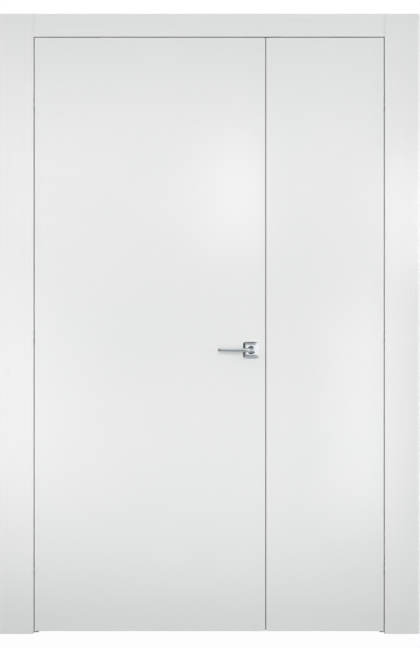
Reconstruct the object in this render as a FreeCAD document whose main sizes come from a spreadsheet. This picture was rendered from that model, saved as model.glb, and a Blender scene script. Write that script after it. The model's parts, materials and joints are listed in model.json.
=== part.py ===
"""Interior double door set: a wide and a narrow flush leaf on concealed hinges in a lined frame.

Millimetres. The origin is at floor level, midway across the frame, in the plane of the wall's front
face. +X runs to the right seen from the front, +Y into the wall and +Z up. Both leaves open towards -Y.
"""
import FreeCAD
import Part
import os

FRAME_SIZES = {
    "wall_depth": 105,
    "jamb_thickness": 40,
    "stop_projection": 15,
    "casing_thickness": 16,
    "casing_width": 124,
    "casing_round": 8,
    "head_casing_height": 81,
    "rear_casing_thickness": 12,
    "rear_casing_width": 80,
    "rear_casing_reveal": 5,
    "tongue_thickness": 4,
    "tongue_length": 12,
    "tongue_inset": 26,
    "rear_tongue_inset": 8,
    "tongue_clearance": 0.2,
    "fixing_hole": 6.5,
    "fixing_inset": 7,
    "corner_screw_length": 80,
    "corner_screw_front": 22,
    "corner_screw_rear": 75,
}
SEAL_SIZES = {
    "seal_space": 3,
    "seal_clearance": 0.3,
    "seal_tongue_thickness": 3,
    "seal_tongue_length": 6,
    "meeting_seal_inset": 6.5,
}
LEAF_SIZES = {
    "leaf_gap": 3,
    "floor_gap": 10,
    "leaf_height": 2095,
    "leaf_thickness": 44,
    "main_leaf_width": 815,
    "narrow_leaf_width": 415,
    "skin_thickness": 4,
    "edge_ease": 1,
    "stile_width": 45,
    "top_rail_height": 45,
    "bottom_rail_height": 60,
    "lock_block_width": 55,
    "lock_block_height": 300,
    "core_tube": 26,
    "core_pitch": 33,
    "core_margin": 6,
}
HINGE_SIZES = {
    "hinge_bottom_inset": 220,
    "hinge_top_inset": 235,
    "hinge_height": 100,
    "hinge_front": 5,
    "hinge_wall": 1.6,
    "hinge_link": 12,
    "hinge_link_angle": 85,
    "hinge_tail_reach": 17,
    "hinge_tail_rise": 5,
    "hinge_opening": 110,
    "hinge_groove_spare": 11,
    "hinge_groove_depth": 2.5,
    "hinge_arm_width": 6,
    "hinge_arm_thickness": 8,
    "hinge_lug_thickness": 8,
    "hinge_pin": 3.4,
    "hinge_pin_hold": 5,
    "hinge_fit": 0.05,
    "hinge_cross_clearance": 0.15,
    "hinge_clearance": 0.4,
    "hinge_level_gap": 0.3,
    "hinge_screw_offset": 36,
}
SCREW_SIZES = {
    "screw_shank": 4,
    "screw_head": 8,
    "screw_head_height": 2.4,
    "screw_length": 32,
    "screw_fit": 0.05,
}
LOCK_SIZES = {
    "handle_height": 1002,
    "backset": 50,
    "faceplate_length": 200,
    "faceplate_width": 18,
    "faceplate_thickness": 3,
    "faceplate_screw_offset": 88,
    "lock_case_height": 120,
    "lock_case_depth": 76,
    "lock_case_thickness": 14,
    "lock_wall": 1.5,
    "lock_fit": 0.5,
    "latch_rise": 26,
    "latch_height": 18,
    "latch_thickness": 9.5,
    "latch_length": 46,
    "latch_throw": 11,
    "latch_clearance": 0.3,
    "latch_sink": 0.2,
    "follower_hub": 20,
    "follower_journal": 15,
    "follower_fit": 0.06,
    "strike_length": 160,
    "strike_thickness": 2.5,
    "strike_screw_offset": 70,
    "strike_clearance": 0.8,
    "strike_pocket_spare": 3,
    "strike_magnet_thickness": 4,
}
HANDLE_SIZES = {
    "spindle_side": 8,
    "spindle_fit": 0.05,
    "spindle_reach": 32,
    "spindle_hole": 22,
    "rose_side": 58,
    "rose_depth": 10,
    "rose_corner": 8,
    "rose_edge_round": 6,
    "rose_wall": 1.2,
    "rose_base_margin": 4,
    "rose_base_depth": 5.5,
    "rose_bolt": 4,
    "rose_bolt_head": 7,
    "rose_bolt_head_height": 2.5,
    "rose_bolt_offset": 19,
    "rose_bolt_fit": 0.5,
    "journal_diameter": 18,
    "journal_fit": 0.08,
    "neck_diameter": 28,
    "neck_clearance": 0.4,
    "lever_seat": 0.3,
    "lever_projection": 50,
    "lever_length": 120,
    "lever_root_length": 24,
    "lever_hub_half_depth": 7,
    "lever_root_height": 13,
    "lever_root_depth": 12.5,
    "lever_tip_height": 10.5,
    "lever_tip_depth": 10,
    "lever_tip_round": 6,
    "grub_screw": 5,
    "grub_screw_out": 19,
}
BOLT_SIZES = {
    "flush_bolt_rod": 9,
    "flush_bolt_clearance": 0.3,
    "flush_bolt_inset": 20,
    "flush_bolt_throw": 18,
    "flush_bolt_sink": 0.5,
    "flush_plate_length": 180,
    "flush_plate_offset": 200,
    "flush_plate_screw_offset": 80,
    "flush_plate_screw_length": 14,
    "flush_slider_height": 18,
    "flush_slider_width": 8,
    "flush_channel_width": 13,
    "flush_channel_spare": 4,
    "head_keeper_length": 70,
    "head_keeper_width": 22,
    "head_keeper_thickness": 2,
    "head_keeper_hole": 11,
    "head_keeper_screw_offset": 25,
    "head_keeper_screw_length": 20,
}
SIZE_GROUPS = (
    FRAME_SIZES, SEAL_SIZES, LEAF_SIZES, HINGE_SIZES, SCREW_SIZES, LOCK_SIZES, HANDLE_SIZES, BOLT_SIZES,
)

doc = FreeCAD.newDocument("double_hinged_door")
sheet = doc.addObject("Spreadsheet::Sheet", "dims")
nodes = []


def fill_sheet():
    """Write each driving size in a cell of its own, under its name."""
    row = 0
    for sizes in SIZE_GROUPS:
        for alias, value in sizes.items():
            row += 1
            sheet.set(f"A{row}", alias)
            sheet.set(f"B{row}", str(value))
            sheet.setAlias(f"B{row}", alias)
    doc.recompute()


fill_sheet()

# Planes that several pieces share
HALF = "((dims.main_leaf_width + dims.narrow_leaf_width + 3 * dims.leaf_gap) / 2)"
FACE_Y = "(-dims.casing_thickness)"
BACK_Y = "(dims.leaf_thickness - dims.casing_thickness)"
MID_Y = "(dims.leaf_thickness / 2 - dims.casing_thickness)"
STOP_Y = f"({BACK_Y} + dims.seal_space)"
LEAF_TOP = "(dims.floor_gap + dims.leaf_height)"
HEAD_Z = f"({LEAF_TOP} + dims.leaf_gap)"
JAMB_TOP = f"({HEAD_Z} + dims.jamb_thickness)"
CASING_TOP = f"({HEAD_Z} + dims.head_casing_height)"
REAR_NEAR = f"({HALF} - dims.stop_projection + dims.rear_casing_reveal)"
REAR_HEAD_Z = f"({HEAD_Z} - dims.stop_projection + dims.rear_casing_reveal)"
REAR_TOP = f"({REAR_HEAD_Z} + dims.rear_casing_width)"
WALL_BACK = "dims.wall_depth"
MAIN_LEFT = f"(dims.leaf_gap - {HALF})"
MAIN_RIGHT = f"({MAIN_LEFT} + dims.main_leaf_width)"
NARROW_RIGHT = f"({HALF} - dims.leaf_gap)"
NARROW_LEFT = f"({NARROW_RIGHT} - dims.narrow_leaf_width)"
CORE_FRONT = f"({FACE_Y} + dims.skin_thickness)"
CORE_BACK = f"({BACK_Y} - dims.skin_thickness)"
HANDLE_X = f"({MAIN_RIGHT} - dims.backset)"
LATCH_Z = "(dims.handle_height + dims.latch_rise)"
BULB = "(dims.seal_space - dims.seal_clearance)"

TURNS = {
    "+x": FreeCAD.Rotation(FreeCAD.Vector(0, 1, 0), 90),
    "-x": FreeCAD.Rotation(FreeCAD.Vector(0, 1, 0), -90),
    "+y": FreeCAD.Rotation(FreeCAD.Vector(1, 0, 0), -90),
    "-y": FreeCAD.Rotation(FreeCAD.Vector(1, 0, 0), 90),
    "+z": FreeCAD.Rotation(),
    "-z": FreeCAD.Rotation(FreeCAD.Vector(1, 0, 0), 180),
}


def bind(piece, **sizes):
    for path, expression in sizes.items():
        piece.setExpression(path, expression)
    return piece


def locate(piece, place, heading="+z"):
    """Turn a piece so that its own Z points along heading, and put its origin at place."""
    piece.Placement = FreeCAD.Placement(FreeCAD.Vector(), TURNS[heading])
    for axis, expression in zip("xyz", place):
        piece.setExpression(f"Placement.Base.{axis}", expression)
    return piece


def box_sizes(low, high):
    return {path: f"({b}) - ({a})" for path, a, b in zip(("Length", "Width", "Height"), low, high)}


def block(name, low, high):
    """A box between two corners."""
    return locate(bind(doc.addObject("Part::Box", name), **box_sizes(low, high)), low)


def rod(name, start, heading, radius, length):
    return locate(bind(doc.addObject("Part::Cylinder", name), Radius=radius, Height=length), start, heading)


def fuse(name, pieces):
    joined = doc.addObject("Part::MultiFuse", name)
    joined.Shapes = pieces
    return joined


def carve(name, base, tools):
    cut = doc.addObject("Part::Cut", name)
    cut.Base = base
    cut.Tool = tools[0] if len(tools) == 1 else fuse(f"{name}_tools", tools)
    return cut


def node(label, piece):
    """Register a finished piece under the name of its file."""
    piece.Label = label
    nodes.append(piece)
    return piece


def group(label, pieces):
    """Register several like solids as one node."""
    bundle = doc.addObject("Part::Compound", label)
    bundle.Links = pieces
    return node(label, bundle)


def mirrored(sign, near, far):
    """Low and high X of a span given by its distances from the centre line."""
    return (near, far) if sign > 0 else (f"-({far})", f"-({near})")


def edges_on(shape, *sides):
    """Names of the edges that lie on the given sides of a shape's box, such as x- or z+."""
    box = shape.BoundBox
    limits = {"x-": box.XMin, "x+": box.XMax, "y-": box.YMin, "y+": box.YMax, "z-": box.ZMin, "z+": box.ZMax}
    tolerance = 1e-6

    def on_side(edge, side):
        return all(abs(getattr(v.Point, side[0]) - limits[side]) < tolerance for v in edge.Vertexes)

    return [f"Edge{i}" for i, edge in enumerate(shape.Edges, 1) if all(on_side(edge, s) for s in sides)]


def round_edges(body, sides, radius):
    """Fillet the edges of a body's last feature that lie on the given sides of it."""
    doc.recompute()
    base = body.Tip
    fillet = body.newObject("PartDesign::Fillet", f"{body.Name}_round")
    fillet.Base = (base, edges_on(base.Shape, *sides))
    fillet.setExpression("Radius", radius)
    return fillet


def board(name, low, high, *rounds):
    """A board as a body: a box with rounded edges, each given as its sides and its radius."""
    body = doc.addObject("PartDesign::Body", name)
    bind(body.newObject("PartDesign::AdditiveBox", f"{name}_box"), **box_sizes(low, high))
    for sides, radius in rounds:
        round_edges(body, sides, radius)
    return locate(body, low)


def stadium(name, face_x, heading, mid_y, mid_z, depth, width, length):
    """A plate or block with half-round ends, set into an edge that faces along X."""
    low_x = face_x if heading == "+x" else f"{face_x} - ({depth})"
    reach = f"({length} - {width}) / 2"
    middle = block(
        f"{name}_middle",
        (low_x, f"{mid_y} - {width} / 2", f"{mid_z} - {reach}"),
        (f"{low_x} + {depth}", f"{mid_y} + {width} / 2", f"{mid_z} + {reach}"),
    )
    ends = [
        rod(f"{name}_end", (face_x, mid_y, f"{mid_z} {sign} {reach}"), heading, f"{width} / 2", depth)
        for sign in "+-"
    ]
    return fuse(name, [middle, *ends])


def screw(name, start, heading, length="dims.screw_length", fit="0"):
    """A countersunk wood screw, or with a fit the hole that it sits in."""
    head = doc.addObject("Part::Cone", f"{name}_head")
    bind(
        head,
        Radius1=f"dims.screw_head / 2 + {fit}",
        Radius2=f"dims.screw_shank / 2 + {fit}",
        Height="dims.screw_head_height",
    )
    locate(head, start, heading)
    shank = rod(f"{name}_shank", start, heading, f"dims.screw_shank / 2 + {fit}", f"{length} + {fit}")
    return fuse(name, [head, shank])


def screw_and_hole(name, start, heading, length="dims.screw_length"):
    hole = screw(f"{name}_hole", start, heading, length, "dims.screw_fit")
    return screw(name, start, heading, length), hole


# Concealed hinges
# Each hinge carries its leaf on two sets of arms that cross at a pin. A pivot, the crossing pin and the
# front edge of the gap form a rhombus, so the leaf turns about that edge without any knuckle showing.
# Each arm's tail rides in an arc groove of the other body. Places are from that edge: across, then back.
PIVOT_X = "(dims.hinge_link * cos(dims.hinge_link_angle))"
PIVOT_Y = "(dims.hinge_link * sin(dims.hinge_link_angle))"
CROSS_Y = f"(2 * {PIVOT_Y})"
TAIL_TURN = "atan(dims.hinge_tail_rise / dims.hinge_tail_reach)"
TAIL_LENGTH = "sqrt(dims.hinge_tail_reach ^ 2 + dims.hinge_tail_rise ^ 2)"
ARM_RADIUS = "(dims.hinge_arm_width / 2)"
POCKET_DEPTH = f"(dims.hinge_tail_reach + {ARM_RADIUS} + dims.hinge_clearance)"
POCKET_FRONT = "(dims.hinge_front + dims.hinge_wall)"
POCKET_BACK = f"({CROSS_Y} + dims.hinge_tail_rise + {ARM_RADIUS} + dims.hinge_clearance)"
HOUSING_BACK = f"({POCKET_BACK} + dims.hinge_wall)"
HOUSING_DEPTH = f"({POCKET_DEPTH} + dims.hinge_wall - dims.leaf_gap / 2)"
HOUSING_WIDTH = f"({HOUSING_BACK} - dims.hinge_front)"
HOUSING_MID_Y = f"({FACE_Y} + (dims.hinge_front + {HOUSING_BACK}) / 2)"
JAMB_ARM_LOW = "(dims.hinge_lug_thickness / 2 + dims.hinge_level_gap)"
JAMB_ARM_HIGH = f"({JAMB_ARM_LOW} + dims.hinge_arm_thickness)"
LEAF_ARM_LOW = f"({JAMB_ARM_HIGH} + dims.hinge_level_gap)"
LEAF_ARM_HIGH = f"({LEAF_ARM_LOW} + dims.hinge_arm_thickness)"
POCKET_HALF = f"({LEAF_ARM_HIGH} + dims.hinge_level_gap)"
GROOVE_HALF = f"({POCKET_HALF} + dims.hinge_groove_depth)"
TAIL_PIN_HALF = f"({GROOVE_HALF} - dims.hinge_level_gap)"
PIN_RADIUS = "dims.hinge_pin / 2"
HINGE_COUNT = 3
HINGE_LOW = "(dims.floor_gap + dims.hinge_bottom_inset)"
HINGE_RUN = "(dims.leaf_height - dims.hinge_bottom_inset - dims.hinge_top_inset)"
HINGE_PITCH = f"({HINGE_RUN} / {HINGE_COUNT - 1})"


def hinge_place(axis_x, across, back, z):
    return (f"{axis_x} + {across}", f"{FACE_Y} + {back}", z)


def hinge_groove(name, axis_x, way, mid_z):
    """The arc slot for the other body's tail pins, as a ring sector through the pocket's end walls."""
    start = "180 - dims.hinge_link_angle" if way > 0 else "dims.hinge_link_angle - dims.hinge_opening"
    centre = hinge_place(
        axis_x, f"{way} * ({PIVOT_X} + dims.hinge_tail_reach)", f"{PIVOT_Y} + dims.hinge_tail_rise",
        f"{mid_z} - {GROOVE_HALF}",
    )
    half_width = f"({PIN_RADIUS} + dims.hinge_level_gap)"
    outer = rod(f"{name}_outer", centre, "+z", f"dims.hinge_link + {half_width}", f"2 * {GROOVE_HALF}")
    outer.setExpression("Angle", "dims.hinge_opening + 2 * dims.hinge_groove_spare")
    outer.setExpression("Placement.Rotation.Angle", f"{start} - dims.hinge_groove_spare")
    inner = rod(f"{name}_inner", centre, "+z", f"dims.hinge_link - {half_width}", f"2 * {GROOVE_HALF}")
    return carve(name, outer, [inner])


def hinge_housing(name, axis_x, way, mid_z):
    """One hinge body lying way (+1 or -1) of the axis: its blank, its hollowed body and its screws."""
    heading = "+x" if way > 0 else "-x"
    face_x = f"({axis_x} + {way} * dims.leaf_gap / 2)"
    blank = stadium(
        f"{name}_blank", face_x, heading, HOUSING_MID_Y, mid_z,
        HOUSING_DEPTH, HOUSING_WIDTH, "dims.hinge_height",
    )
    low, high = (axis_x, f"{axis_x} + {POCKET_DEPTH}")
    if way < 0:
        low, high = (f"{axis_x} - {POCKET_DEPTH}", axis_x)
    pocket = block(
        f"{name}_pocket",
        (low, f"{FACE_Y} + {POCKET_FRONT}", f"{mid_z} - {POCKET_HALF}"),
        (high, f"{FACE_Y} + {POCKET_BACK}", f"{mid_z} + {POCKET_HALF}"),
    )
    groove = hinge_groove(f"{name}_groove", axis_x, way, mid_z)
    screws, holes = [], []
    for sign in "+-":
        start = (face_x, HOUSING_MID_Y, f"{mid_z} {sign} dims.hinge_screw_offset")
        fixing, hole = screw_and_hole(f"{name}_screw", start, heading)
        screws.append(fixing)
        holes.append(hole)
    return blank, carve(f"{name}_hollow", blank, [pocket, groove, *holes]), screws, holes


def jamb_housing(name, axis_x, way, mid_z):
    """A jamb body: the pivot of its arms is a pin in a lug at mid height."""
    blank, hollow, screws, holes = hinge_housing(name, axis_x, way, mid_z)
    near, far = f"{axis_x} + {way} * {PIVOT_X}", f"{axis_x} + {way} * {POCKET_DEPTH}"
    low, high = (near, far) if way > 0 else (far, near)
    lug_low, lug_high = f"{mid_z} - dims.hinge_lug_thickness / 2", f"{mid_z} + dims.hinge_lug_thickness / 2"
    lug = block(
        f"{name}_lug",
        (low, f"{FACE_Y} + {PIVOT_Y} - {ARM_RADIUS}", lug_low),
        (high, f"{FACE_Y} + {PIVOT_Y} + {ARM_RADIUS}", lug_high),
    )
    pivot = hinge_place(axis_x, f"{way} * {PIVOT_X}", PIVOT_Y, lug_low)
    nose = rod(f"{name}_nose", pivot, "+z", ARM_RADIUS, "dims.hinge_lug_thickness")
    solid = fuse(f"{name}_with_lug", [hollow, lug, nose])
    pin_start = hinge_place(axis_x, f"{way} * {PIVOT_X}", PIVOT_Y, f"{mid_z} - {JAMB_ARM_HIGH}")
    pin = rod(f"{name}_pin", pin_start, "+z", PIN_RADIUS, f"2 * {JAMB_ARM_HIGH}")
    return blank, carve(f"{name}_bored", solid, [pin]), [pin], screws, holes


def leaf_housing(name, axis_x, way, mid_z):
    """A leaf body: its arms pivot on two short pins that stand in the pocket's end walls."""
    blank, hollow, screws, holes = hinge_housing(name, axis_x, way, mid_z)
    length = f"{POCKET_HALF} + dims.hinge_pin_hold - {LEAF_ARM_LOW}"
    pins = []
    for sign, heading in (("+", "+z"), ("-", "-z")):
        start = hinge_place(axis_x, f"{way} * {PIVOT_X}", PIVOT_Y, f"{mid_z} {sign} {LEAF_ARM_LOW}")
        pins.append(rod(f"{name}_pin", start, heading, PIN_RADIUS, length))
    return blank, carve(f"{name}_bored", hollow, pins), pins, screws, holes


def arm_plate(name, axis_x, way, low_z):
    """A bent arm plate from its pivot in the body that lies way of the axis, past the crossing pin."""
    turn = "(180 - dims.hinge_link_angle)" if way > 0 else "dims.hinge_link_angle"
    tail_turn = f"(180 deg - {TAIL_TURN})" if way > 0 else TAIL_TURN
    pivot = (f"{way} * {PIVOT_X}", PIVOT_Y)
    cross = ("0", CROSS_Y)
    tail = (f"{-way} * dims.hinge_tail_reach", f"{CROSS_Y} + dims.hinge_tail_rise")
    pieces = []
    for start, angle, length in ((pivot, turn, "dims.hinge_link"), (cross, tail_turn, TAIL_LENGTH)):
        bar = bind(
            doc.addObject("Part::Box", f"{name}_bar"),
            Length=length, Width="dims.hinge_arm_width", Height="dims.hinge_arm_thickness",
        )
        across = f"{start[0]} + {ARM_RADIUS} * sin({angle})"
        locate(bar, hinge_place(axis_x, across, f"{start[1]} - {ARM_RADIUS} * cos({angle})", low_z))
        bar.setExpression("Placement.Rotation.Angle", angle)
        pieces.append(bar)
    for place in (pivot, cross, tail):
        start = hinge_place(axis_x, *place, low_z)
        pieces.append(rod(f"{name}_boss", start, "+z", ARM_RADIUS, "dims.hinge_arm_thickness"))
    return fuse(name, pieces)


def bore_at(name, axis_x, across, back, mid_z, radius, half):
    start = hinge_place(axis_x, across, back, f"{mid_z} - {half}")
    return rod(name, start, "+z", radius, f"2 * {half}")


def jamb_arm(name, axis_x, way, mid_z):
    """The pair of inner plates that pivot on the jamb, riveted to the crossing pin and the tail pin."""
    plates = [
        arm_plate(f"{name}_upper", axis_x, way, f"{mid_z} + {JAMB_ARM_LOW}"),
        arm_plate(f"{name}_lower", axis_x, way, f"{mid_z} - {JAMB_ARM_HIGH}"),
    ]
    tail = (f"{-way} * dims.hinge_tail_reach", f"{CROSS_Y} + dims.hinge_tail_rise")
    cross_pin = bore_at(f"{name}_cross_pin", axis_x, "0", CROSS_Y, mid_z, PIN_RADIUS, LEAF_ARM_HIGH)
    tail_pin = bore_at(f"{name}_tail_pin", axis_x, *tail, mid_z, PIN_RADIUS, TAIL_PIN_HALF)
    pivot_bore = bore_at(
        f"{name}_pivot_bore", axis_x, f"{way} * {PIVOT_X}", PIVOT_Y, mid_z,
        f"{PIN_RADIUS} + dims.hinge_fit", LEAF_ARM_LOW,
    )
    return carve(name, fuse(f"{name}_riveted", [*plates, cross_pin, tail_pin]), [pivot_bore])


def leaf_arm(name, axis_x, way, mid_z):
    """The two outer plates that pivot on the leaf, each with its own tail pin."""
    bores = [
        bore_at(
            f"{name}_pivot_bore", axis_x, f"{way} * {PIVOT_X}", PIVOT_Y, mid_z,
            f"{PIN_RADIUS} + dims.hinge_fit", POCKET_HALF,
        ),
        bore_at(
            f"{name}_cross_bore", axis_x, "0", CROSS_Y, mid_z,
            f"{PIN_RADIUS} + dims.hinge_cross_clearance", POCKET_HALF,
        ),
    ]
    tail = (f"{-way} * dims.hinge_tail_reach", f"{CROSS_Y} + dims.hinge_tail_rise")
    arms = []
    for sign, heading, low in (("+", "+z", LEAF_ARM_LOW), ("-", "-z", LEAF_ARM_HIGH)):
        plate = arm_plate(f"{name}_plate", axis_x, way, f"{mid_z} {sign} {low}")
        start = hinge_place(axis_x, *tail, f"{mid_z} {sign} {LEAF_ARM_LOW}")
        pin = rod(f"{name}_tail_pin", start, heading, PIN_RADIUS, f"{TAIL_PIN_HALF} - {LEAF_ARM_LOW}")
        arms.append(carve(f"{name}_bored", fuse(f"{name}_riveted", [plate, pin]), bores))
    return arms


class HingeSet:
    """The hinges of one leaf, and what the wood around them has cut out of it."""

    def __init__(self, leaf, axis_x, leaf_way):
        self.jamb_mortises, self.jamb_screws, self.jamb_pins = [], [], []
        self.leaf_mortises, self.leaf_screws = [], []
        jamb_bodies, leaf_bodies, leaf_pins, jamb_arms, leaf_arms = [], [], [], [], []
        for index in range(HINGE_COUNT):
            mid_z = f"({HINGE_LOW} + {index} * {HINGE_PITCH})"
            name = f"{leaf}_hinge_{index}"
            blank, body, pins, screws, holes = jamb_housing(f"{name}_jamb", axis_x, -leaf_way, mid_z)
            self.jamb_mortises += [blank, *holes]
            self.jamb_screws += screws
            self.jamb_pins += pins
            jamb_bodies.append(body)
            blank, body, pins, screws, holes = leaf_housing(f"{name}_leaf", axis_x, leaf_way, mid_z)
            self.leaf_mortises += [blank, *holes]
            self.leaf_screws += screws
            leaf_bodies.append(body)
            leaf_pins += pins
            jamb_arms.append(jamb_arm(f"{name}_jamb_arm", axis_x, -leaf_way, mid_z))
            leaf_arms += leaf_arm(f"{name}_leaf_arm", axis_x, leaf_way, mid_z)
        group(f"{leaf}_hinge_jamb_bodies", jamb_bodies)
        group(f"{leaf}_hinge_leaf_bodies", leaf_bodies)
        group(f"{leaf}_hinge_leaf_pins", leaf_pins)
        group(f"{leaf}_hinge_jamb_arms", jamb_arms)
        group(f"{leaf}_hinge_leaf_arms", leaf_arms)


main_hinges = HingeSet("main", f"(dims.leaf_gap / 2 - {HALF})", 1)
narrow_hinges = HingeSet("narrow", f"({HALF} - dims.leaf_gap / 2)", -1)
group("hinge_jamb_pins", main_hinges.jamb_pins + narrow_hinges.jamb_pins)

# Frame: jambs and head
GROOVE_HALF_WIDTH = "dims.seal_tongue_thickness / 2"
SEAL_ACROSS = f"({HALF} - dims.stop_projection / 2)"
SEAL_HEAD_Z = f"({HEAD_Z} - dims.stop_projection / 2)"
SEAL_GROOVE_BACK = f"{STOP_Y} + dims.seal_tongue_length"
FIXING_COUNT = 4
frame_screws = []


def tongue_span(near, inset, clearance="0"):
    """Low and high of a casing tongue, measured from the casing's inner edge outwards."""
    low = f"{near} + {inset} - {clearance}"
    return low, f"{near} + {inset} + dims.tongue_thickness + {clearance}"


def jamb(side, sign, hinges):
    lining = block(f"jamb_{side}_lining", *zip(
        mirrored(sign, HALF, f"{HALF} + dims.jamb_thickness"), ("0", WALL_BACK), ("0", JAMB_TOP),
    ))
    stop = block(f"jamb_{side}_stop", *zip(
        mirrored(sign, f"{HALF} - dims.stop_projection", HALF), (STOP_Y, WALL_BACK), ("0", JAMB_TOP),
    ))
    seal_groove = block(f"jamb_{side}_seal_groove", *zip(
        mirrored(sign, f"{SEAL_ACROSS} - {GROOVE_HALF_WIDTH}", f"{SEAL_ACROSS} + {GROOVE_HALF_WIDTH}"),
        (STOP_Y, SEAL_GROOVE_BACK), ("0", JAMB_TOP),
    ))
    front_groove = block(f"jamb_{side}_front_groove", *zip(
        mirrored(sign, *tongue_span(HALF, "dims.tongue_inset", "dims.tongue_clearance")),
        ("0", "dims.tongue_length + dims.tongue_clearance"), ("0", JAMB_TOP),
    ))
    rear_groove = block(f"jamb_{side}_rear_groove", *zip(
        mirrored(sign, *tongue_span(REAR_NEAR, "dims.rear_tongue_inset", "dims.tongue_clearance")),
        (f"{WALL_BACK} - dims.tongue_length - dims.tongue_clearance", WALL_BACK), ("0", JAMB_TOP),
    ))
    heading = "+x" if sign > 0 else "-x"
    inward = "-x" if sign > 0 else "+x"
    cuts = [seal_groove, front_groove, rear_groove, *hinges.jamb_mortises]
    for index in range(FIXING_COUNT):
        place = (
            f"{sign} * {HALF}", f"{STOP_Y} - dims.fixing_inset",
            f"{HINGE_LOW} + {HINGE_PITCH} * ({index} + 0.5) / 2",
        )
        cuts.append(rod(f"jamb_{side}_fixing", place, heading, "dims.fixing_hole / 2", "dims.jamb_thickness"))
    for back in ("dims.corner_screw_front", "dims.corner_screw_rear"):
        place = (f"{sign} * ({HALF} + dims.jamb_thickness)", back, f"{HEAD_Z} + dims.jamb_thickness / 2")
        fixing, hole = screw_and_hole(f"jamb_{side}_corner_screw", place, inward, "dims.corner_screw_length")
        frame_screws.append(fixing)
        corner_holes.append(hole)
        cuts.append(hole)
    frame_screws.extend(hinges.jamb_screws)
    node(f"jamb_{side}", carve(f"jamb_{side}_cut", fuse(f"jamb_{side}_raw", [lining, stop]), cuts))


corner_holes = []
jamb("left", -1, main_hinges)
jamb("right", 1, narrow_hinges)

# The upper flush bolt shoots through a keeper let into the head
BOLT_X = f"({NARROW_LEFT} + dims.flush_bolt_inset)"
KEEPER_HALF = "dims.head_keeper_length / 2"
KEEPER_TOP = f"({HEAD_Z} + dims.head_keeper_thickness)"
keeper_blank = block("head_keeper_blank", *zip(
    (f"{BOLT_X} - {KEEPER_HALF}", f"{BOLT_X} + {KEEPER_HALF}"),
    (f"{MID_Y} - dims.head_keeper_width / 2", f"{MID_Y} + dims.head_keeper_width / 2"),
    (HEAD_Z, KEEPER_TOP),
))
keeper_hole = rod(
    "head_keeper_bolt_hole", (BOLT_X, MID_Y, HEAD_Z), "+z", "dims.head_keeper_hole / 2",
    "dims.flush_bolt_throw + dims.flush_channel_spare",
)
keeper_holes = []
for keeper_side in "+-":
    keeper_place = (f"{BOLT_X} {keeper_side} dims.head_keeper_screw_offset", MID_Y, HEAD_Z)
    keeper_screw, keeper_screw_hole = screw_and_hole(
        "head_keeper_screw", keeper_place, "+z", "dims.head_keeper_screw_length",
    )
    frame_screws.append(keeper_screw)
    keeper_holes.append(keeper_screw_hole)
node("head_keeper", carve("head_keeper_cut", keeper_blank, [keeper_hole, *keeper_holes]))


def head_jamb():
    lining = block("jamb_head_lining", *zip((f"-{HALF}", HALF), ("0", STOP_Y), (HEAD_Z, JAMB_TOP)))
    inner = f"({HALF} - dims.stop_projection)"
    stop = block("jamb_head_stop", *zip(
        (f"-{inner}", inner), (STOP_Y, WALL_BACK), (f"{HEAD_Z} - dims.stop_projection", JAMB_TOP),
    ))
    seal_groove = block("jamb_head_seal_groove", *zip(
        (f"-{inner}", inner), (STOP_Y, SEAL_GROOVE_BACK),
        (f"{SEAL_HEAD_Z} - {GROOVE_HALF_WIDTH}", f"{SEAL_HEAD_Z} + {GROOVE_HALF_WIDTH}"),
    ))
    front_groove = block("jamb_head_front_groove", *zip(
        (f"-{HALF}", HALF), ("0", "dims.tongue_length + dims.tongue_clearance"),
        tongue_span(HEAD_Z, "dims.tongue_inset", "dims.tongue_clearance"),
    ))
    rear_groove = block("jamb_head_rear_groove", *zip(
        (f"-{inner}", inner), (f"{WALL_BACK} - dims.tongue_length - dims.tongue_clearance", WALL_BACK),
        tongue_span(REAR_HEAD_Z, "dims.rear_tongue_inset", "dims.tongue_clearance"),
    ))
    cuts = [seal_groove, front_groove, rear_groove, *corner_holes, keeper_blank, keeper_hole, *keeper_holes]
    node("jamb_head", carve("jamb_head_cut", fuse("jamb_head_raw", [lining, stop]), cuts))


head_jamb()
group("frame_screws", frame_screws)


# Frame: casings on both faces of the wall
def casing(name, low, high, rounds, tongue, cuts=()):
    body = board(f"{name}_board", low, high, *rounds)
    whole = fuse(f"{name}_tongued", [body, tongue])
    node(name, carve(f"{name}_cut", whole, list(cuts)) if cuts else whole)


for casing_side, casing_sign, casing_hinges in (("left", -1, main_hinges), ("right", 1, narrow_hinges)):
    outer_side, inner_side = ("x-", "x+") if casing_sign < 0 else ("x+", "x-")
    front_tongue = block(f"front_casing_{casing_side}_tongue", *zip(
        mirrored(casing_sign, *tongue_span(HALF, "dims.tongue_inset")),
        ("0", "dims.tongue_length"),
        ("0", JAMB_TOP),
    ))
    casing(
        f"front_casing_{casing_side}",
        *zip(mirrored(casing_sign, HALF, f"{HALF} + dims.casing_width"), (FACE_Y, "0"), ("0", CASING_TOP)),
        [((outer_side, "y-"), "dims.casing_round"), ((inner_side, "y-"), "dims.edge_ease")],
        front_tongue,
        casing_hinges.jamb_mortises,
    )
    rear_tongue = block(f"rear_casing_{casing_side}_tongue", *zip(
        mirrored(casing_sign, *tongue_span(REAR_NEAR, "dims.rear_tongue_inset")),
        (f"{WALL_BACK} - dims.tongue_length", WALL_BACK), ("0", JAMB_TOP),
    ))
    casing(
        f"rear_casing_{casing_side}",
        *zip(
            mirrored(casing_sign, REAR_NEAR, f"{REAR_NEAR} + dims.rear_casing_width"),
            (WALL_BACK, f"{WALL_BACK} + dims.rear_casing_thickness"), ("0", REAR_TOP),
        ),
        [((outer_side, "y+"), "dims.casing_round / 2"), ((inner_side, "y+"), "dims.edge_ease")],
        rear_tongue,
    )

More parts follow.
